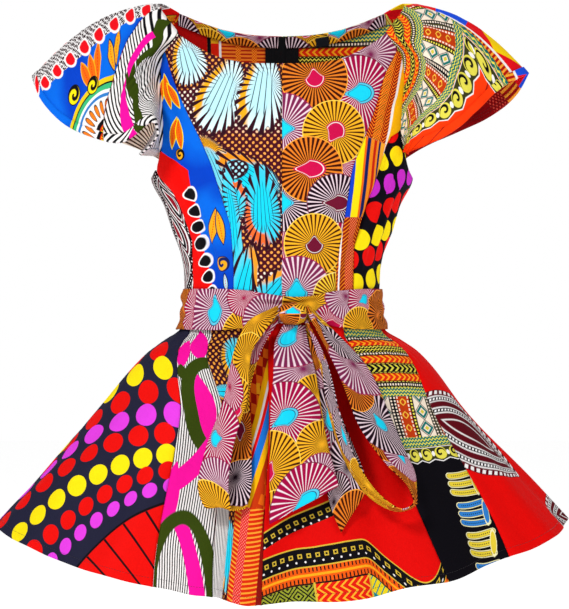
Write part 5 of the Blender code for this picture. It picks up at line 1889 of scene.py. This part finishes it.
# Lamps: where each stands, how wide it is and its watts
LAMPS = (("key_light", (-1.5, -2.0, 1.5), 0.7, 54), ("fill_light", (1.9, -1.8, 0.5), 1.4, 16),
         ("back_light", (0.3, 2.2, 1.4), 1.2, 20))
CAMERA_PLACE = (0, -2.8, -0.359)
SENSOR, LENS = 36.0, 147.6
PHOTO_WIDTH = 569
SHIFT_RIGHT, SHIFT_UP = 2.5, -0.5


def make_floor():
    mesh = bpy.data.meshes.new("studio_floor")
    corners = [(x * FLOOR_HALF, y * FLOOR_HALF, FLOOR_HEIGHT)
               for x, y in ((-1, -1), (1, -1), (1, 1), (-1, 1))]
    mesh.from_pydata(corners, [], [(0, 1, 2, 3)])
    floor = bpy.data.objects.new("studio_floor", mesh)
    bpy.context.scene.collection.objects.link(floor)
    pale = smooth("pale_floor", (0.95, 0.95, 0.95, 1), 0.8)
    shader = pale.node_tree.nodes["Principled BSDF"]
    shader.inputs["Emission Color"].default_value = (1, 1, 1, 1)
    shader.inputs["Emission Strength"].default_value = FLOOR_GLOW
    mesh.materials.append(pale)


def make_world():
    """A soft light all round, with a white backdrop where the camera looks past the blouse."""
    world = bpy.data.worlds.new("studio")
    bpy.context.scene.world = world
    world.use_nodes = True
    nodes, links = world.node_tree.nodes, world.node_tree.links
    backdrop, light = nodes["Background"], nodes.new("ShaderNodeBackground")
    for shader, strength in ((backdrop, 1.0), (light, AMBIENT)):
        shader.inputs["Color"].default_value = (1, 1, 1, 1)
        shader.inputs["Strength"].default_value = strength
    seen, chosen = nodes.new("ShaderNodeLightPath"), nodes.new("ShaderNodeMixShader")
    links.new(seen.outputs["Is Camera Ray"], chosen.inputs[0])
    links.new(light.outputs[0], chosen.inputs[1])
    links.new(backdrop.outputs[0], chosen.inputs[2])
    links.new(chosen.outputs[0], nodes["World Output"].inputs["Surface"])


def make_lamp(name, place, size, watts):
    lamp = bpy.data.lights.new(name, "AREA")
    lamp.shape = "DISK"
    lamp.size = size
    lamp.energy = watts
    holder = bpy.data.objects.new(name, lamp)
    bpy.context.scene.collection.objects.link(holder)
    holder.location = place
    x, y, z = LAMP_AIM - place
    holder.rotation_euler = (math.atan2(math.hypot(x, y), -z), 0, math.atan2(-x, y))


def make_camera():
    lens = bpy.data.cameras.new("camera")
    lens.sensor_fit = "HORIZONTAL"
    lens.sensor_width = SENSOR
    lens.lens = LENS
    lens.shift_x = SHIFT_RIGHT / PHOTO_WIDTH
    lens.shift_y = SHIFT_UP / PHOTO_WIDTH
    camera = bpy.data.objects.new("camera", lens)
    camera.location = CAMERA_PLACE
    camera.rotation_euler = (math.pi / 2, 0, 0)
    bpy.context.scene.collection.objects.link(camera)
    bpy.context.scene.camera = camera


bpy.context.scene.view_settings.view_transform = "Standard"
make_floor()
make_world()
for lamp in LAMPS:
    make_lamp(*lamp)
make_camera()
